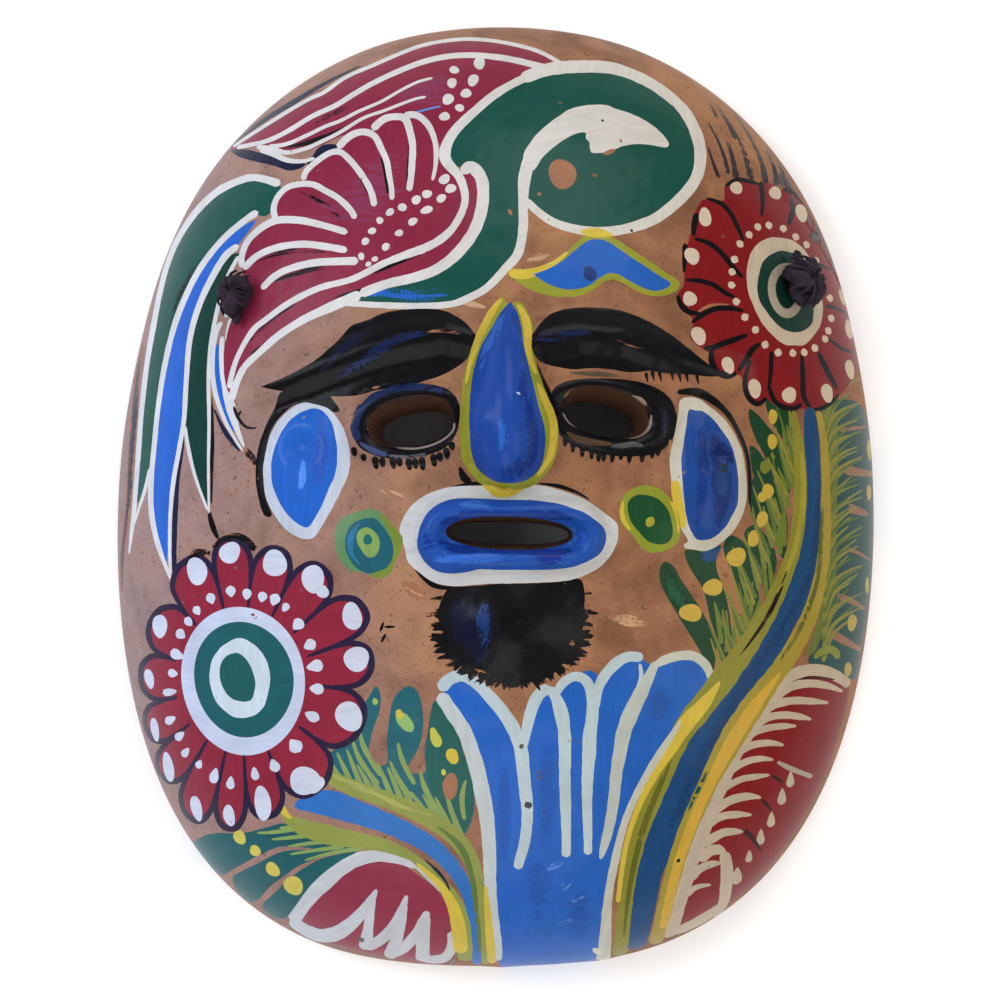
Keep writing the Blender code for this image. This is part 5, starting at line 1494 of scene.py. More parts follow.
def paint_right_flower():
    """The red flower on the right of the forehead."""
    patch(
        RED, (44.3, 50), (44.5, 57), (46, 61.5), (47, 66.5), (49.5, 70.8), (54.5, 71), (55, 74.5),
        (58, 76.5), (63.5, 75.8), (67, 76.3), (71, 74.5), (74, 73.5), (77.5, 69.5), (80, 66), (83, 60),
        (85.5, 55), (87.5, 48), (89, 42), (90, 36), (89, 31), (86, 27), (83.5, 24.5), (81, 22), (78, 20.8),
        (75, 20.8), (72, 21), (69, 20.8), (66.3, 21.8), (64, 23), (62.3, 21.5), (60, 22.5), (58.5, 25.5),
        (57.5, 28.5), (54, 28.2), (51.5, 30), (50.8, 33), (48, 35), (45.5, 37.5), (46.5, 41.5), (44, 44),
        (42.8, 47.5),
    )
    patch(
        CLAY, (46.4, 42.4), (46.4, 42.4), (50.6, 44.6), (55, 44.8), (55, 45.6), (50.4, 45.4), (47.4, 43.6),
        dry=0.2,
    )
    patch(
        (98, 52, 60), (72, 76), (79, 68), (84, 59), (87, 50), (84, 54), (79, 62), (74, 69), (69, 73),
        dry=0.55,
    )
    for width, points in (
        (1.2, ((59.2, 61), (57.7, 64.7), (56, 68), (54, 70), (50.2, 71.2))),
        (1.6, ((47.9, 67.5), (47, 64), (47, 61.6))),
        (1.3, ((46.9, 61.2), (50.9, 60), (53.9, 57.6), (56.6, 54.3), (59, 52))),
        (1.4, ((44.8, 60), (44.6, 56), (44.4, 52.6))),
        (1.2, ((44.6, 51), (47.8, 51), (51.4, 50.1), (54.5, 48.2), (56.9, 47.1))),
        (1.4, ((42.8, 47.6), (43.6, 45), (45.6, 43.4), (48.4, 43.2))),
        (1.3, ((46, 40.8), (48.8, 42.9), (51.6, 44.3), (55.1, 44.6), (59, 44))),
        (1.4, ((59.8, 38.4), (56.7, 37.2), (53.6, 36.1), (51, 35), (48.6, 35))),
        (1.6, ((51, 35), (50.6, 32), (51.6, 29.5), (54.2, 28.4), (56.8, 29))),
        (1.4, ((63, 36.5), (60.8, 34.8), (59.3, 32.5), (56.9, 29.3))),
        (1.3, ((60.4, 32.4), (58.8, 27.4), (59.5, 23.8), (61.9, 21.9), (64.4, 23.6))),
        (1.3, ((65.6, 34.6), (65.4, 29.8), (64.6, 24))),
        (1.3, ((65.2, 26), (66.2, 22.8), (68.4, 21.3), (71.4, 21.1), (73.3, 22.4))),
        (1.4, ((73.4, 34.8), (73.6, 29.2), (73.8, 24), (75.8, 20.8))),
        (1.0, ((75.6, 20.8), (78.5, 21.3), (81.3, 22.9), (83.3, 25))),
        (1.6, ((77.7, 34.9), (79, 32.6), (80.8, 29.3), (82.9, 26))),
        (1.0, ((80.3, 38.6), (82.6, 37.2), (84.9, 36), (88.4, 35.6))),
        (1.0, ((77.4, 57.3), (79.9, 56.5), (83.6, 55.7))), (1.0, ((80.3, 46.5), (84, 46), (87.4, 45))),
        (1.5, ((71.8, 73.2), (72.6, 70.6), (71.8, 68), (71, 65.8))),
        (1.4, ((64.3, 76.6), (64.5, 71.8), (64, 67.5))),
        (1.1, ((55, 74.4), (58, 76.4), (61.6, 76.2), (64, 75.6))),
        (1.3, ((76.6, 63.4), (79, 65), (79.4, 67.4))),
    ):
        if len(points) < 4:
            line(BLACK, (width, width * 0.9, width * 0.5), *points)
        else:
            line(BLACK, [width * 0.6] + [width] * (len(points) - 2) + [width * 0.6], *points)
    warm = (222, 206, 188)
    dots(
        warm, 12, (57.9, 74.3, 1.5, 1.7), (68, 73.9, 1.8, 1.6), (75, 69.6, 1.8, 2.3), (49.8, 66.5, 1.6, 2.3),
        (46.4, 56.9, 1.7, 2.2), (45.7, 46.6, 1.6, 1.9), (47.7, 37.8, 1.8, 2.2), (54.6, 30.9, 1.6, 2.0),
        (61.3, 25.6, 1.7, 2.2), (70, 24.2, 1.8, 2.0), (80, 25, 1.7, 2.2), (86.8, 31.2, 1.5, 2.3),
        (87.3, 41.3, 1.4, 2.4), (85.7, 49.4, 0.9, 2.0),
    )
    dot((84, 76, 84), 78.5, 63.5, 1.8, 1.8, dry=0.3)
    for x, y in (
        (58.2, 60.4), (60.6, 62.8), (62.9, 64.9), (65.8, 65.5), (69.6, 65), (72.9, 63.2), (75.8, 61.5),
        (78.3, 57.7), (79.6, 53), (81.8, 48.5), (81.9, 43.4), (80.9, 40.2), (79.9, 38.1), (77, 35.7),
        (74.1, 34.5), (71.1, 34.2), (67.3, 34.2), (64, 36), (61.6, 39.5), (59, 42.5), (56.9, 46.2),
        (55.8, 50.2), (56, 53.4), (56.7, 56.5),
    ):
        lean = math.atan2(y - 49.3, x - 69.6)
        out_x, out_y = math.cos(lean), math.sin(lean)
        line(
            warm, (0.5, 1.9, 1.7), (x - out_x * 1.2, y - out_y * 1.2), (x - out_x * 0.2, y - out_y * 0.2),
            (x + out_x * 0.9, y + out_y * 0.9),
        )
    patch(
        (214, 200, 182), (68.9, 62.5), (66.2, 62.3), (63, 60.8), (61, 58.3), (60, 55.2), (59.7, 52),
        (60, 48.8), (61.2, 45.5), (63, 41.8), (66, 38.4), (68.9, 36.4), (71.4, 36.2), (74, 36.4),
        (76.2, 38.3), (78, 40.4), (79.1, 43), (79.5, 46), (79, 49.8), (78.3, 53.1), (77, 57.2), (75, 60),
        (72.2, 62),
    )
    patch(
        (20, 62, 54), (68.5, 59.2), (65.7, 57.8), (63.8, 56), (62.8, 52.8), (62.3, 50), (62.8, 46.8),
        (64.6, 44), (66.8, 41.5), (69, 39.9), (71.6, 39.4), (74.2, 40), (76.3, 41.8), (76.8, 44.2),
        (76.9, 48), (76.5, 53), (75, 57), (73, 58.5),
    )
    dot((186, 176, 164), 69.8, 49.6, 4.7, 6.9)
    dot((18, 56, 50), 69.8, 49.6, 2.7, 4.6)


def paint_left_flower():
    """The red flower on the left cheek."""
    centre = (-60.3, -43.8)
    cool = (214, 218, 228)
    tips = (
        (-63, -13.3, 2.7, 2.5), (-52, -15.7, 3.1, 3.0), (-42.8, -19.3, 2.6, 3.5), (-71.3, -17.8, 2.7, 3.2),
        (-81.2, -31.3, 2.0, 2.9), (-84.5, -44.4, 1.4, 2.4), (-83.5, -57, 1.3, 2.8), (-80.2, -66.3, 1.5, 4.0),
        (-73, -76, 1.5, 3.4), (-64.4, -77, 1.6, 2.6), (-55.8, -73.4, 2.0, 4.5), (-45.3, -67.4, 3.9, 3.3),
        (-34.5, -51.6, 3.2, 3.6), (-32.6, -38, 3.2, 2.8), (-33.6, -28, 2.4, 3.2),
    )
    red = (150, 40, 60)
    dot(red, *centre, 20, 22)
    around = sorted(
        (math.atan2(y - centre[1], x - centre[0]), math.dist((x, y), centre)) for x, y, _, _ in tips
    )
    petals = []
    for number, (angle, far) in enumerate(around):
        before = (around[number - 1][0] - angle + math.pi) % (2 * math.pi) - math.pi
        after = (around[(number + 1) % len(around)][0] - angle + math.pi) % (2 * math.pi) - math.pi
        reach = far + (3.4 if abs(angle) < 2.3 else 2.6)
        petals.append([
            (centre[0] + out * math.cos(angle + off), centre[1] + out * math.sin(angle + off))
            for out, off in (
                (17, before / 2), (reach * 0.7, before / 2), (reach * 0.88, before * 0.43),
                (reach * 0.98, before * 0.22), (reach, 0.0), (reach * 0.98, after * 0.22),
                (reach * 0.88, after * 0.43), (reach * 0.7, after / 2), (17, after / 2),
            )
        ])
    for petal in petals:
        patch(red, *petal)
    for petal in petals:
        line((44, 32, 60), (0.6, 1.0, 1.4, 1.6, 1.7, 1.6, 1.4, 1.0, 0.6), *petal, dry=0.12)
    line(BLACK, (0.8, 2.0, 2.2, 1.6), (-67.4, -12.4), (-64.6, -10.2), (-60.4, -9.8), (-56.4, -12.8), dry=0.3)
    line(BLACK, (0.8, 2.0, 1.4), (-74.6, -17.4), (-71.6, -13.6), (-67.4, -13.8), dry=0.3)
    dots(cool, 6, *tips)
    dot(cool, -40.6, -22.2, 1.6, 1.6)
    dot(cool, -43.2, -68.2, 2.6, 2.2, 15)
    for x, y, across, along in (
        (-62.8, -22.4, 1.4, 1.5), (-58.8, -23, 1.3, 1.5), (-55, -23.6, 1.3, 1.4), (-52, -24.2, 1.6, 1.5),
        (-49.4, -26, 1.3, 1.1), (-46.4, -30, 1.7, 1.7), (-43.6, -34.8, 1.6, 1.7), (-42.4, -39.8, 1.6, 2.2),
        (-42, -45.2, 1.4, 1.9), (-43.2, -51.8, 1.4, 2.0), (-47.4, -59, 1.8, 2.0), (-52.6, -64, 1.5, 1.8),
        (-57.5, -66.2, 1.1, 1.8), (-63.7, -68.8, 1.2, 1.8), (-67.8, -67.3, 1.2, 2.2),
        (-71.7, -64.7, 1.0, 1.3), (-75.2, -62, 1.0, 1.6), (-76.6, -58, 1.1, 1.7), (-79, -54.2, 1.1, 1.8),
        (-79, -47.3, 1.0, 2.1), (-78, -42.6, 1.1, 1.5), (-76.8, -38, 1.4, 2.0), (-75.7, -33, 1.4, 1.5),
        (-73.6, -29.9, 1.2, 1.4), (-71.4, -27.2, 1.2, 1.3), (-67.8, -24.2, 1.3, 1.5),
    ):
        away_x, away_y = x - centre[0], y - centre[1]
        far = math.hypot(away_x, away_y)
        step_x, step_y = away_x / far, away_y / far
        span = max(across, along)
        line(
            cool, (0.7, min(across, along) * 1.9, min(across, along) * 1.7),
            (x - step_x * span, y - step_y * span), (x, y),
            (x + step_x * span * 0.9, y + step_y * span * 0.9),
        )
    dot((206, 214, 228), -60.3, -43.8, 15.3, 17.9)
    dot((34, 96, 98), -60, -43.4, 12.3, 13.9)
    patch(
        (212, 224, 226), (-60.3, -33.5), (-56.5, -35.5), (-54, -39), (-53.3, -43.5), (-54.3, -48),
        (-55.5, -50.5), (-58, -52.2), (-62, -52.6), (-65, -50.8), (-67.3, -48), (-68.4, -43), (-67.6, -39),
        (-65.5, -36), (-62.8, -34.2),
    )
    patch(
        (34, 96, 92), (-61.4, -37), (-59.6, -38), (-58, -40.3), (-57, -43.5), (-57.2, -46.5), (-58.3, -48.4),
        (-60.5, -48.7), (-63, -48), (-65, -45.5), (-65.8, -42.5), (-65.2, -39.2), (-63.5, -37.6),
    )


def paint_clay_highlights():
    """Pale dry streaks on the bare clay: painted highlights where it catches the light."""
    for start, end, width in (
        ((-27, 1.4), (-21, -0.4), 1.6), ((-22, -20), (-16, -24), 3.4), ((7, 55), (13, 57), 2.0),
        ((26, -28), (36, -30), 3.0), ((-10, 46), (-2, 44), 1.6), ((40, 72), (34, 66), 1.2),
    ):
        middle = ((start[0] + end[0]) / 2, (start[1] + end[1]) / 2)
        line((206, 166, 128), (0.6, width, 0.6), start, middle, end, dry=0.62)


def paint_all():
    """Every painted shape, from the first coat to the last touch."""
    paint_clay_highlights()
    paint_streaks()
    paint_tail()
    paint_wing()
    paint_fan()
    paint_bird()
    paint_leaf()
    paint_right_leaves()
    paint_right_flower()
    paint_shells()
    paint_left_leaves()
    paint_chin()
    paint_bands()
    paint_beard()
    paint_lips()
    paint_brows()
    paint_drops()
    paint_cheeks()
    paint_nose()
    paint_left_flower()


# The mesh of the mask

def slot_line(centre, half, tilt, shift, taper, height_at):
    """Where a tapered slot meets a surface, as places seen from above with their heights."""
    turn = np.arange(OPENING_FACETS) * 2 * math.pi / OPENING_FACETS
    cosine, sine = np.cos(turn), np.sin(turn)
    across = np.copysign(np.abs(cosine) ** (2 / SLOT_FULLNESS), cosine)
    along = np.copysign(np.abs(sine) ** (2 / SLOT_FULLNESS), sine)
    top = face_height(*np.asarray(centre))
    share = np.zeros(OPENING_FACETS)
    for _ in range(30):
        dx, dy = across * (half[0] - taper * share), along * (half[1] - taper * share)
        x = centre[0] + shift[0] * share + dx * math.cos(tilt) - dy * math.sin(tilt)
        y = centre[1] + shift[1] * share + dx * math.sin(tilt) + dy * math.cos(tilt)
        share = 0.4 * share + 0.6 * (top - height_at(x, y)) / WALL
    return np.stack([x, y, height_at(x, y)], axis=-1)


def dome_normal(place):
    """The direction straight out of the dome at a place."""
    x, y = place
    slope_x = (dome_height(x + 0.7, y) - dome_height(x - 0.7, y)) / 1.4
    slope_y = (dome_height(x, y + 0.7) - dome_height(x, y - 0.7)) / 1.4
    return Vector((-slope_x, -slope_y, 1.0)).normalized()


def hole_line(place, height_at):
    """Where a round hole square through the wall meets a surface."""
    normal = dome_normal(place)
    across = normal.orthogonal().normalized()
    along = normal.cross(across)
    turn = np.arange(HOLE_FACETS) * 2 * math.pi / HOLE_FACETS
    ring = np.outer(np.cos(turn), across) + np.outer(np.sin(turn), along)
    places = np.array([*place, float(dome_height(*place))]) + ring * HOLE_DIAMETER / 2
    for _ in range(60):
        off = places[:, 2] - height_at(places[:, 0], places[:, 1])
        places = places - np.outer(off * 0.6 * normal.z, normal)
    return places


def openings(height_at):
    """The lines of the eyes, the mouth and the two cord holes on a surface."""
    return [
        slot_line(LEFT_EYE_CENTRE, EYE_HALF, LEFT_EYE_TILT, (EYE_SHIFT, -EYE_SHIFT), EYE_TAPER, height_at),
        slot_line(RIGHT_EYE_CENTRE, EYE_HALF, RIGHT_EYE_TILT, (-EYE_SHIFT, -EYE_SHIFT), EYE_TAPER, height_at),
        slot_line(MOUTH_CENTRE, MOUTH_HALF, MOUTH_TILT, (0.0, 0.0), MOUTH_TAPER, height_at),
        hole_line(LEFT_HOLE, height_at),
        hole_line(RIGHT_HOLE, height_at),
    ]


def triangles(loops, rim, fill):
    """Triangles that keep every loop's line as edges: their rolled-out places, and three corners each."""
    places, edges, passed = [], [], 0
    for loop in [rim, *loops]:
        numbers = passed + np.arange(len(loop))
        places.append(loop)
        edges.append(np.stack([numbers, np.roll(numbers, -1)], axis=-1))
        passed += len(loop)
    lines = np.vstack(places)
    cells = set(map(tuple, np.floor(lines / LINE_CLEARANCE).astype(int)))
    near = {(a + i, b + j) for a, b in cells for i in (-1, 0, 1) for j in (-1, 0, 1)}
    free = [tuple(cell) not in near for cell in np.floor(fill / LINE_CLEARANCE).astype(int)]
    points = [Vector(place) for place in np.vstack([lines, fill[np.array(free)]])]
    pairs = [tuple(map(int, edge)) for edge in np.vstack(edges)]
    result = geometry.delaunay_2d_cdt(points, pairs, [], 0, 1e-5, False)
    flat = np.array([tuple(place) for place in result[0]])
    corners = np.array([face for face in result[2] if len(face) == 3])
    return flat, corners


def even_fill(rim_reach, step, wanted):
    """Rolled-out places in rows a step apart, every second row moved half a step, where wanted."""
    span = math.ceil(rim_reach / step)
    row, column = np.meshgrid(np.arange(-span, span + 1), np.arange(-span, span + 1), indexing="ij")
    fill = np.stack([(column + 0.5 * (row % 2)) * step, row * step * ROW_SHARE], axis=-1).reshape(-1, 2)
    return fill[wanted(fill)]


def within_rim(flat, inset, gap):
    """Which rolled-out places lie inside the rim by at least gap."""
    reach = outline_reach(np.arctan2(flat[:, 1], flat[:, 0]), inset)
    return np.hypot(flat[:, 0], flat[:, 1]) < reach * math.pi / 2 - gap


def in_front(flat):
    """Which rolled-out places lie on the front of the face, round its features."""
    return (np.abs(flat[:, 0]) < FRONT_HALF_WIDTH) & (flat[:, 1] < FRONT_TOP) & (flat[:, 1] > FRONT_BOTTOM)


def on_shell(flat, corners, inset, holes):
    """Which triangles lie within the rim and outside the openings, and the triangles' middles."""
    middles = flat[corners].mean(axis=1)
    kept = within_rim(middles, inset, 0.0)
    for hole in holes:
        kept &= ~goes_round(hole, middles)
    return kept, middles


def turning(flat, corners):
    """Twice each triangle's area on the rolled-out face, above 0 where its corners turn left."""
    first_side = flat[corners[:, 1]] - flat[corners[:, 0]]
    second_side = flat[corners[:, 2]] - flat[corners[:, 0]]
    return np.cross(first_side, second_side)


def chipped(places):
    """The places with the small bite out of the left edge."""
    reach = outline_reach(np.array(CHIP_ANGLE), 0.0)
    y = float(reach * math.sin(CHIP_ANGLE))
    x = float(reach * math.cos(CHIP_ANGLE)) + CROWN_LEAN * y / HALF_HEIGHT
    outwards = np.array([x, y, 0.0]) / math.hypot(x, y)
    centre = np.array([x, y, 0.0]) + outwards * (CHIP_RADIUS - CHIP_DEPTH)
    away = places - centre
    distance = np.maximum(np.linalg.norm(away, axis=1), 1e-6)
    near = distance < CHIP_RADIUS
    moved = places.copy()
    moved[near] = centre + away[near] / distance[near][:, None] * CHIP_RADIUS
    return moved


def surface_places(flat, inset, height_at):
    """Rolled-out places put on a surface."""
    x, y = from_flat(flat, inset)
    return np.stack([x, y, height_at(x, y)], axis=-1)


def surface_normals(flat, inset, height_at):
    """The direction out of a surface at each rolled-out place."""
    inner = flat * 0.9995
    reach = 0.12
    along = surface_places(inner + (reach, 0), inset, height_at)
    along -= surface_places(inner - (reach, 0), inset, height_at)
    up = surface_places(inner + (0, reach), inset, height_at)
    up -= surface_places(inner - (0, reach), inset, height_at)
    normals = np.cross(along, up)
    return normals / np.maximum(np.linalg.norm(normals, axis=1), 1e-9)[:, None]


def outer_face():
    """The painted front: places, normals, corners, and each triangle's paint."""
    rim = rim_line(0.0, RIM_STEP)
    holes = [to_flat(ring[:, 0], ring[:, 1]) for ring in openings(face_height)]
    outlines = [even_line(to_flat(*outline.T), LINE_STEP, True) for _, outline, _, _ in PAINT]
    fine = even_fill(150, FACE_STEP, in_front)
    coarse = even_fill(190, SIDE_STEP, lambda flat: within_rim(flat, 0.0, 1.0) & ~in_front(flat))
    flat, corners = triangles(holes + outlines, rim, np.vstack([fine, coarse]))
    kept, middles = on_shell(flat, corners, 0.0, holes)
    corners, middles = corners[kept], middles[kept]
    turned_over = turning(flat, corners) < 0
    corners[turned_over] = corners[turned_over][:, ::-1]
    paint, under, grain = painted(middles, outlines)
    places = chipped(surface_places(flat, 0.0, face_height))
    return places, surface_normals(flat, 0.0, face_height), corners, paint, under, grain


def painted(middles, outlines):
    """Each triangle's top colour and cover, the colour below it and how bare it is, and its grain."""
    count = len(middles)
    paint = np.tile(full(CLAY), (count, 1))
    under = np.tile(full(CLAY), (count, 1))
    grain = np.tile([1.0, 0.0, 0.0], (count, 1))
    for number, ((colour, _, dry, lead), outline) in enumerate(zip(PAINT, outlines)):
        low, high = outline.min(axis=0), outline.max(axis=0)
        near = np.where(((middles >= low) & (middles <= high)).all(axis=1))[0]
        inside = near[goes_round(outline, middles[near])]
        under[inside, :3] = paint[inside, :3]
        under[inside, 3] = 0.0
        paint[inside] = (*colour, 1.0 - dry)
        if dry >= FEATHERED and len(inside):
            apart = middles[inside, None] - outline[None]
            gap = np.hypot(apart[..., 0], apart[..., 1]).min(axis=1)
            paint[inside, 3] *= np.clip(gap / (FEATHER_SHARE * gap.max()), 0.0, 1.0)
        grain[inside] = (math.cos(lead), math.sin(lead), 1.0 + number % 17)
    return paint, under, grain


def ring_wall(outer, inner, facing, passed):
    """The wall of an opening between its two lines, or the rim where it faces one way only."""
    count, rows = len(outer), 5 if facing is None else 2
    places = [outer + (inner - outer) * row / (rows - 1) for row in range(rows)]
    if facing is None:
        middle = (outer + inner).mean(axis=0) / 2
        run = np.roll(outer, -1, axis=0) - np.roll(outer, 1, axis=0)
        side = np.cross(run, inner - outer)
        side /= np.maximum(np.linalg.norm(side, axis=1), 1e-9)[:, None]
        side *= np.sign(((middle - outer) * side).sum(axis=1))[:, None]
        normals = np.tile(side, (rows, 1))
    else:
        normals = np.tile(facing, (rows * count, 1))
    corners = []
    for row in range(rows - 1):
        here = passed + row * count + np.arange(count)
        beside = passed + row * count + np.roll(np.arange(count), -1)
        first = np.stack([here, beside, here + count], axis=-1)
        second = np.stack([beside, beside + count, here + count], axis=-1)
        if facing is None:
            first, second = first[:, ::-1], second[:, ::-1]
        corners += [first[:, ::-1], second[:, ::-1]]
    return places, normals, corners


def build_mask(surface):
    """The whole clay shell as one fine mesh."""
    face_places, face_normals, face_corners, paint, under, grain = outer_face()
    places, normals, corners = [face_places], [face_normals], [face_corners]
    passed = len(face_places)

    rim_outer = chipped(surface_places(rim_line(0.0, RIM_STEP), 0.0, face_height))
    inner_flat = rim_line(WALL, RIM_STEP)
    rim_inner = surface_places(inner_flat, WALL, hollow_height)
    rings = [(rim_outer, rim_inner, np.array([0.0, 0.0, -1.0]))]
    rings += [(outer, inner, None) for outer, inner in zip(openings(face_height), openings(hollow_height))]
    for outer, inner, facing in rings:
        wall_places, wall_normals, wall_corners = ring_wall(outer, inner, facing, passed)
        places += wall_places
        normals.append(wall_normals)
        corners += wall_corners
        passed += len(wall_normals)

    hollow_holes = [to_flat(ring[:, 0], ring[:, 1], WALL) for ring in openings(hollow_height)]
    fill = even_fill(180, HOLLOW_STEP, lambda flat: within_rim(flat, WALL, 2.0))
    flat, inner_corners = triangles(hollow_holes, inner_flat, fill)
    inner_corners = inner_corners[on_shell(flat, inner_corners, WALL, hollow_holes)[0]]
    upward = turning(flat, inner_corners) > 0
    inner_corners[upward] = inner_corners[upward][:, ::-1]
    places.append(surface_places(flat, WALL, hollow_height))
    normals.append(-surface_normals(flat, WALL, hollow_height))
    corners.append(inner_corners + passed)

    places = np.vstack(places) * MM
    normals = np.vstack(normals)
    corners = np.vstack(corners)
    bare = len(corners) - len(paint)
    first_wall = 2 * len(rim_outer)
    last_wall = bare - len(inner_corners)
    bare_clay = np.tile(full(PALE_CLAY), (bare, 1))
    # The walls of the openings are fully covered in a dark clay colour: painted shade inside the holes
    bare_clay[first_wall:last_wall] = full(SHADED_CLAY)
    paint = np.vstack([paint, bare_clay])
    shaded = bare_clay.copy()
    shaded[first_wall:last_wall, 3] = 0.0
    under = np.vstack([under, shaded])
    grain = np.vstack([grain, np.tile([1.0, 0.0, 0.0], (bare, 1))])
    kept = {"paint": paint, "under": under, "grain": grain}
    return mesh_piece("mask_painted", places, corners, surface, normals, **kept)


def mesh_piece(name, places, corners, surface, normals=None, **kept):
    """A mesh of triangles in metres, with its values for the surface kept on each corner."""
    mesh = bpy.data.meshes.new(name)
    mesh.vertices.add(len(places))
    mesh.vertices.foreach_set("co", np.asarray(places, np.float32).ravel())
    mesh.loops.add(3 * len(corners))
    mesh.loops.foreach_set("vertex_index", np.asarray(corners, np.int32).ravel())
    mesh.polygons.add(len(corners))
    mesh.polygons.foreach_set("loop_start", np.arange(0, 3 * len(corners), 3, dtype=np.int32))
    mesh.update(calc_edges=True)
    mesh.shade_smooth()
    for key, values in kept.items():
        kind = "FLOAT_COLOR" if values.shape[1] == 4 else "FLOAT_VECTOR"
        layer = mesh.attributes.new(key, kind, "CORNER")
        field = "color" if values.shape[1] == 4 else "vector"
        layer.data.foreach_set(field, np.repeat(values, 3, axis=0).astype(np.float32).ravel())
    mesh.materials.append(surface)
    if normals is not None:
        mesh.normals_split_custom_set_from_vertices([tuple(normal) for normal in normals])
    item = bpy.data.objects.new(name, mesh)
    bpy.context.scene.collection.objects.link(item)
    return item


# Surfaces

class Nodes:
    """A short way to write a surface's nodes."""

    def __init__(self, name):
        self.surface = bpy.data.materials.new(name)
        self.surface.use_nodes = True
        self.tree = self.surface.node_tree
        self.shader = self.tree.nodes["Principled BSDF"]

    def add(self, kind, settings=(), **inputs):
        """One node, with its settings and its inputs, which are values or other nodes' outputs."""
        node = self.tree.nodes.new(kind)
        for key, value in dict(settings).items():
            setattr(node, key, value)
        for key, value in inputs.items():
            self.give(node, key, value)
        return node

    def give(self, node, key, value):
        """Set or link one input, named with _ for spaces, or numbered."""
        socket = node.inputs[int(key[1:])] if key[1:].isdigit() else node.inputs[key.replace("_", " ")]
        if isinstance(value, bpy.types.NodeSocket):
            self.tree.links.new(value, socket)
        else:
            socket.default_value = value

    def math(self, operation, a, b=0.0, c=0.0, clamp=False):
        """A sum, product or other plain calculation."""
        settings = {"operation": operation, "use_clamp": clamp}
        return self.add("ShaderNodeMath", settings, n0=a, n1=b, n2=c).outputs[0]

    def ramp(self, value, low, high, to_low=0.0, to_high=1.0):
        """A value between two limits, spread from to_low to to_high."""
        limits = {"n1": low, "n2": high, "n3": to_low, "n4": to_high}
        return self.add("ShaderNodeMapRange", {"clamp": True}, n0=value, **limits).outputs[0]

    def noise(self, place, scale, detail=2.0, roughness=0.5):
        """Cloudy variation of a given fineness."""
        settings = {"Scale": scale, "Detail": detail, "Roughness": roughness}
        return self.add("ShaderNodeTexNoise", n0=place, **settings).outputs[0]

    def plain(self, key, value):
        """Give the shader itself one plain value."""
        self.shader.inputs[key].default_value = value

    def mix(self, share, a, b, blend="MIX"):
        """One colour turning into another."""
        settings = {"data_type": "RGBA", "blend_type": blend}
        node = self.tree.nodes.new("ShaderNodeMix")
        for key, value in settings.items():
            setattr(node, key, value)
        self.give(node, "n0", share)
        self.give(node, "n6", a)
        self.give(node, "n7", b)
        return node.outputs[2]


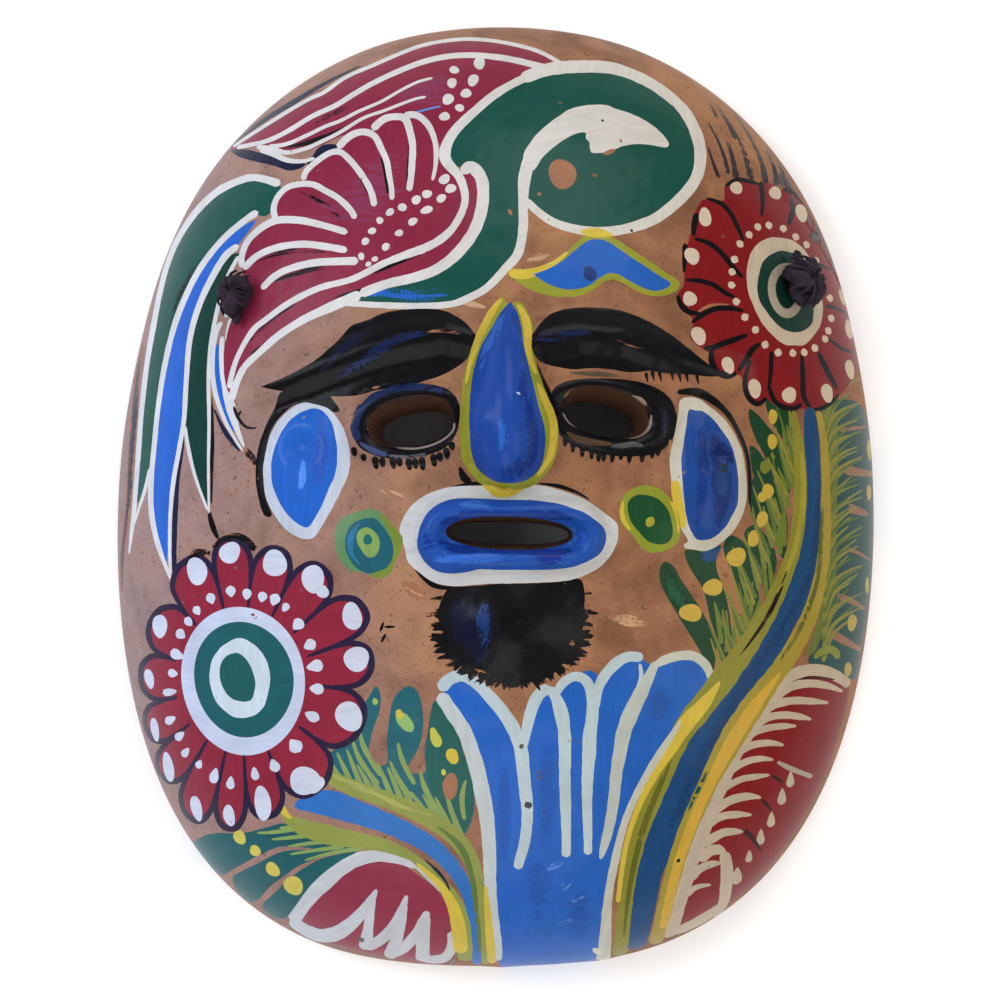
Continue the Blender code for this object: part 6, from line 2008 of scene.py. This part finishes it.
def painted_clay():
    """Brushed paint with a varnish over fired clay, by the values kept on the mesh, with painted light and
    sheen.
    """
    nodes = Nodes("painted_clay")
    place = nodes.add("ShaderNodeTexCoord").outputs["Object"]
    paint = nodes.add("ShaderNodeAttribute", {"attribute_name": "paint"})
    under = nodes.add("ShaderNodeAttribute", {"attribute_name": "under"})
    grain = nodes.add("ShaderNodeAttribute", {"attribute_name": "grain"})
    lead = nodes.add("ShaderNodeSeparateXYZ", Vector=grain.outputs["Vector"])
    spot = nodes.add("ShaderNodeSeparateXYZ", Vector=place)
    cosine, sine, seed = lead.outputs[0], lead.outputs[1], lead.outputs[2]
    x, y = spot.outputs[0], spot.outputs[1]
    along = nodes.math("ADD", nodes.math("MULTIPLY", x, cosine), nodes.math("MULTIPLY", y, sine))
    across = nodes.math("SUBTRACT", nodes.math("MULTIPLY", y, cosine), nodes.math("MULTIPLY", x, sine))
    wide = nodes.noise(place, BROAD_TURNS, 2.0, 0.5)
    across = nodes.math("MULTIPLY_ADD", wide, 0.012, across)
    brushed = nodes.add(
        "ShaderNodeCombineXYZ",
        n0=nodes.math("MULTIPLY", along, ALONG_STROKE),
        n1=nodes.math("MULTIPLY", across, ACROSS_STROKE),
        n2=nodes.math("MULTIPLY", seed, 3.7),
    ).outputs[0]
    streak = nodes.noise(brushed, 1.0, 3.0, 0.6)
    cloud = nodes.noise(place, CLOUD_TURNS, 3.0, 0.55)
    speck = nodes.noise(place, SPECK_TURNS, 2.0, 0.5)
    pore = nodes.noise(place, PORE_TURNS, 3.0, 0.6)
    bare = under.outputs["Alpha"]
    covered = nodes.math("SUBTRACT", 1.0, bare)

    dryness = nodes.math("SUBTRACT", 1.0, paint.outputs["Alpha"])
    floor = nodes.math("MULTIPLY_ADD", dryness, 0.62, 0.05)
    cover = nodes.ramp(nodes.math("SUBTRACT", streak, floor), 0.0, 0.12)
    worn = nodes.ramp(nodes.math("ADD", speck, nodes.math("MULTIPLY", cloud, 0.25)), 0.895, 0.915)
    cover = nodes.math("MULTIPLY", cover, nodes.math("SUBTRACT", 1.0, worn))

    clay = nodes.mix(nodes.ramp(cloud, 0.3, 0.7), full(DARK_CLAY), full(LIGHT_CLAY))
    stain = nodes.noise(place, STAIN_TURNS, 4.0, 0.6)
    blotch = nodes.ramp(stain, 0.25, 0.55, 0.5, 1.0)
    # Painted sheen: towards the left, in blotches, the clay turns pale and cool where the cool light shows on
    # it
    cool = nodes.math("MULTIPLY", nodes.ramp(x, -TINT_REACH, 0.0, 0.9, 0.0), blotch)
    clay = nodes.mix(nodes.ramp(wide, 0.45, 0.65, 0.0, 0.6), clay, full(WARM_CLAY))
    clay = nodes.mix(cool, clay, full(CLAY_SHEEN))
    clay = nodes.mix(nodes.ramp(stain, 0.5, 0.7, 0.0, 0.45), clay, full(STAINED_CLAY))
    clay = nodes.mix(nodes.ramp(pore, 0.60, 0.72), clay, full(PORE))
    clay = nodes.mix(nodes.ramp(speck, 0.66, 0.72, 0.0, 0.6), clay, full(SPECK))
    first_coat = nodes.mix(nodes.math("MULTIPLY", worn, 0.8), under.outputs["Color"], clay)
    ground = nodes.mix(bare, first_coat, clay)
    patchy = nodes.ramp(cloud, 0.3, 0.7, -0.06, 0.06)
    tone = nodes.math("ADD", nodes.ramp(streak, 0.3, 0.7, 0.92, 1.06), patchy)
    tone = nodes.add("ShaderNodeCombineXYZ", n0=tone, n1=tone, n2=tone).outputs[0]
    coat = nodes.mix(1.0, paint.outputs["Color"], tone, "MULTIPLY")
    share = nodes.math("MULTIPLY", cover, covered)
    # Painted light: every colour is tinted cool at the left, and darker and warmer at the right
    tint = nodes.mix(nodes.ramp(x, -TINT_REACH, TINT_REACH), LEFT_TINT, RIGHT_TINT)
    nodes.give(nodes.shader, "Base_Color", nodes.mix(1.0, nodes.mix(share, ground, coat), tint, "MULTIPLY"))
    rough = nodes.math("MULTIPLY_ADD", share, -0.24, 0.52)
    nodes.give(nodes.shader, "Roughness", nodes.math("MULTIPLY_ADD", streak, 0.08, rough))
    height = nodes.math("MULTIPLY_ADD", share, 0.9, nodes.math("MULTIPLY", pore, 0.5))
    height = nodes.math("MULTIPLY_ADD", nodes.math("MULTIPLY", streak, share), 0.5, height)
    bump = nodes.add("ShaderNodeBump", Strength=0.35, Distance=0.0001, Height=height)
    nodes.give(nodes.shader, "Normal", bump.outputs[0])
    nodes.plain("Specular IOR Level", 0.08)
    nodes.plain("Coat Weight", 0.04)
    nodes.plain("Coat Roughness", 0.14)
    nodes.plain("Coat IOR", 1.5)
    return nodes.surface


def plain_floor():
    """A matt, almost white sheet."""
    nodes = Nodes("pale_floor")
    nodes.plain("Base Color", (FLOOR_SHADE, FLOOR_SHADE, FLOOR_SHADE, 1.0))
    nodes.plain("Roughness", 0.9)
    return nodes.surface


def dark_cord():
    """Waxed dark thread with a fibrous surface."""
    nodes = Nodes("dark_thread")
    place = nodes.add("ShaderNodeTexCoord").outputs["Object"]
    fibre = nodes.noise(place, 2600.0, 3.0, 0.7)
    cloud = nodes.noise(place, 380.0, 2.0, 0.5)
    dark, middle, pale = map(full, CORD_SHADES)
    base = nodes.mix(nodes.ramp(cloud, 0.4, 0.65), dark, middle)
    base = nodes.mix(nodes.ramp(fibre, 0.55, 0.75), base, pale)
    nodes.give(nodes.shader, "Base_Color", base)
    nodes.plain("Roughness", 0.75)
    nodes.plain("Specular IOR Level", 0.2)
    bump = nodes.add("ShaderNodeBump", Strength=0.6, Distance=0.0003, Height=fibre)
    nodes.give(nodes.shader, "Normal", bump.outputs[0])
    return nodes.surface


# The cord and its knots

def smooth_route(route, step):
    """Evenly spaced points on the smooth curve through a route's own points."""
    points = [Vector(point) for point in route]
    padded = [2 * points[0] - points[1], *points, 2 * points[-1] - points[-2]]
    fine = [points[0]]
    for before, start, end, after in zip(padded, padded[1:], padded[2:], padded[3:]):
        for part in range(1, 17):
            t = part / 16
            along = 2 * start + (end - before) * t
            bend = (2 * before - 5 * start + 4 * end - after) * t**2
            close = (3 * start - before - 3 * end + after) * t**3
            fine.append((along + bend + close) / 2)
    lengths = [(after - before).length for before, after in zip(fine, fine[1:])]
    count = round(sum(lengths) / step)
    spacing = sum(lengths) / count
    even, passed, wanted = [fine[0]], 0.0, spacing
    for before, after, length in zip(fine, fine[1:], lengths):
        while wanted <= passed + length and len(even) < count:
            even.append(before.lerp(after, (wanted - passed) / length))
            wanted += spacing
        passed += length
    return [*even, fine[-1]]


def twisted_tube(points, radius, lay, taper=0.0):
    """A cord of twisted plies along points, in metres: its places and three corners for each triangle."""
    points = np.array([tuple(point) for point in points])
    runs = np.gradient(points, axis=0)
    runs /= np.maximum(np.linalg.norm(runs, axis=1), 1e-12)[:, None]
    passed = np.concatenate([[0.0], np.cumsum(np.linalg.norm(np.diff(points, axis=0), axis=1))])
    side = np.cross(runs[0], (0.0, 0.0, 1.0))
    if np.linalg.norm(side) < 0.1:
        side = np.cross(runs[0], (0.0, 1.0, 0.0))
    turn = np.arange(CORD_SIDES) * 2 * math.pi / CORD_SIDES
    rings = []
    for place, run, distance in zip(points, runs, passed):
        side = side - run * side.dot(run)
        side /= np.linalg.norm(side)
        other = np.cross(run, side)
        twist = turn + distance / lay * 2 * math.pi
        ridges = np.abs(np.cos(CORD_PLIES * twist / 2)) ** 0.7
        ply = 0.76 + 0.24 * ridges + 0.05 * np.sin(5 * turn + 4000 * distance)
        end = min(distance, passed[-1] - distance)
        cap = math.sqrt(max(0.02, 1 - max(0.0, 1 - end / radius) ** 2))
        size = radius * ply * cap * (1 - taper * distance / passed[-1])
        rings.append(place + np.outer(size * np.cos(turn), side) + np.outer(size * np.sin(turn), other))
    places = np.vstack(rings + [points[:1], points[-1:]])
    corners = []
    for ring in range(len(points) - 1):
        here = ring * CORD_SIDES + np.arange(CORD_SIDES)
        beside = ring * CORD_SIDES + np.roll(np.arange(CORD_SIDES), -1)
        corners.append(np.stack([here, beside, here + CORD_SIDES], axis=-1))
        corners.append(np.stack([beside, beside + CORD_SIDES, here + CORD_SIDES], axis=-1))
    first = np.arange(CORD_SIDES)
    last = (len(points) - 1) * CORD_SIDES + first
    start, finish = len(places) - 2, len(places) - 1
    corners.append(np.stack([np.full(CORD_SIDES, start), np.roll(first, -1), first], axis=-1))
    corners.append(np.stack([np.full(CORD_SIDES, finish), last, np.roll(last, -1)], axis=-1))
    return places, np.vstack(corners)


def joined(tubes):
    """Several tubes as one set of places and corners."""
    places, corners, passed = [], [], 0
    for tube_places, tube_corners in tubes:
        places.append(tube_places)
        corners.append(tube_corners + passed)
        passed += len(tube_places)
    return np.vstack(places), np.vstack(corners)


def build_cord(surface):
    """The cord behind the face, from one knot to the other."""
    points = smooth_route(CORD_ROUTE, CORD_STEP)
    places, corners = twisted_tube(points, CORD_DIAMETER / 2, CORD_LAY)
    cord = mesh_piece("hanging_cord_thread", places, corners, surface)
    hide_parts("hanging_cord")
    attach(cord, "root")


def build_knot(name, node, place, half, turn, tails, surface):
    """A knot pulled down over its hole, with its ends sticking out."""
    normal = dome_normal(place)
    upright = Vector((0, 1, 0)) - normal * normal.y
    upright.normalize()
    seat = Matrix((upright.cross(normal), upright, normal)).transposed()
    turned_seat = seat @ Matrix.Rotation(turn, 3, "Z")
    origin = Vector((*place, float(dome_height(*place)))) * MM
    radius = CORD_DIAMETER / 2
    loop = []
    for step in range(91):
        t = step * 2 * math.pi / 90
        x = (math.sin(t) + 2 * math.sin(2 * t)) / 3 * (half[0] * MM - radius * 1.3)
        y = (math.cos(t) - 2 * math.cos(2 * t)) / 3 * (half[1] * MM - radius * 1.3)
        z = half[2] * MM + 0.0002 - math.sin(3 * t) * (half[2] * MM - radius) * 0.8
        loop.append(origin + turned_seat @ Vector((x, y, z)))
    tubes = [twisted_tube(loop, radius * 1.4, CORD_LAY * 0.6)]
    for number in range(THREAD_COUNT):
        angle = THREAD_TURN * number
        along, across = half[0] * math.cos(angle), half[1] * math.sin(angle)
        route = [(out * along, out * across, up * half[2]) for out, up in THREAD_RUN]
        points = [origin + turned_seat @ Vector(point) * MM for point in route]
        tubes.append(twisted_tube(smooth_route(points, CORD_STEP), THREAD_DIAMETER / 2, CORD_LAY, 0.4))
    for route in tails:
        points = [origin + turned_seat @ Vector(point) * MM for point in route]
        tubes.append(twisted_tube(smooth_route(points, CORD_STEP), radius * 0.95, CORD_LAY, 0.25))
    places, corners = joined(tubes)
    knot = mesh_piece(name, places, corners, surface)
    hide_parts(node)
    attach(knot, "root")
    return knot


def build_floor():
    """The pale floor that the mask lies on."""
    mesh = bpy.data.meshes.new("floor")
    sides = ((-1, -1), (1, -1), (1, 1), (-1, 1))
    mesh.from_pydata([(x * FLOOR_REACH, y * FLOOR_REACH, 0) for x, y in sides], [], [(0, 1, 2, 3)])
    mesh.materials.append(plain_floor())
    item = bpy.data.objects.new("floor", mesh)
    bpy.context.scene.collection.objects.link(item)


def soft_light(name, place, size, power, colour):
    """A large square light turned to the mask."""
    light = bpy.data.lights.new(name, "AREA")
    light.shape = "SQUARE"
    light.size = size
    light.energy = power
    light.color = colour
    item = bpy.data.objects.new(name, light)
    item.location = place
    item.rotation_euler = (Vector(LIGHT_AIM) - Vector(place)).to_track_quat("-Z", "Y").to_euler()
    bpy.context.scene.collection.objects.link(item)


def build_lights():
    """A cool window to the left, a warmer fill to the right, and light from all round."""
    for light in LIGHTS:
        soft_light(*light)
    world = bpy.data.worlds.new("room")
    world.use_nodes = True
    world.node_tree.nodes["Background"].inputs[0].default_value = (1.0, 1.0, 1.0, 1.0)
    world.node_tree.nodes["Background"].inputs[1].default_value = ROOM_LIGHT
    bpy.context.scene.world = world
    bpy.context.scene.view_settings.view_transform = "Standard"


clear_view()
thread = dark_cord()
left_knot = build_knot(
    "knot_left_thread",
    "cord_knot_left",
    LEFT_HOLE,
    (4.4, 5.6, 3.2),
    math.radians(-6),
    [((0.5, -2.0, 1.6), (0.8, -4.5, 1.9), (1.2, -7.2, 1.6))],
    thread,
)
right_knot = build_knot(
    "knot_right_thread",
    "cord_knot_right",
    RIGHT_HOLE,
    (5.8, 6.2, 3.8),
    math.radians(12),
    [((1.0, 2.0, 2.0), (2.2, 5.0, 2.4), (3.0, 8.0, 1.8))],
    thread,
)
build_cord(thread)
paint_all()
mask = build_mask(painted_clay())
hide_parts("mask")
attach(mask, "root")
build_floor()
build_lights()
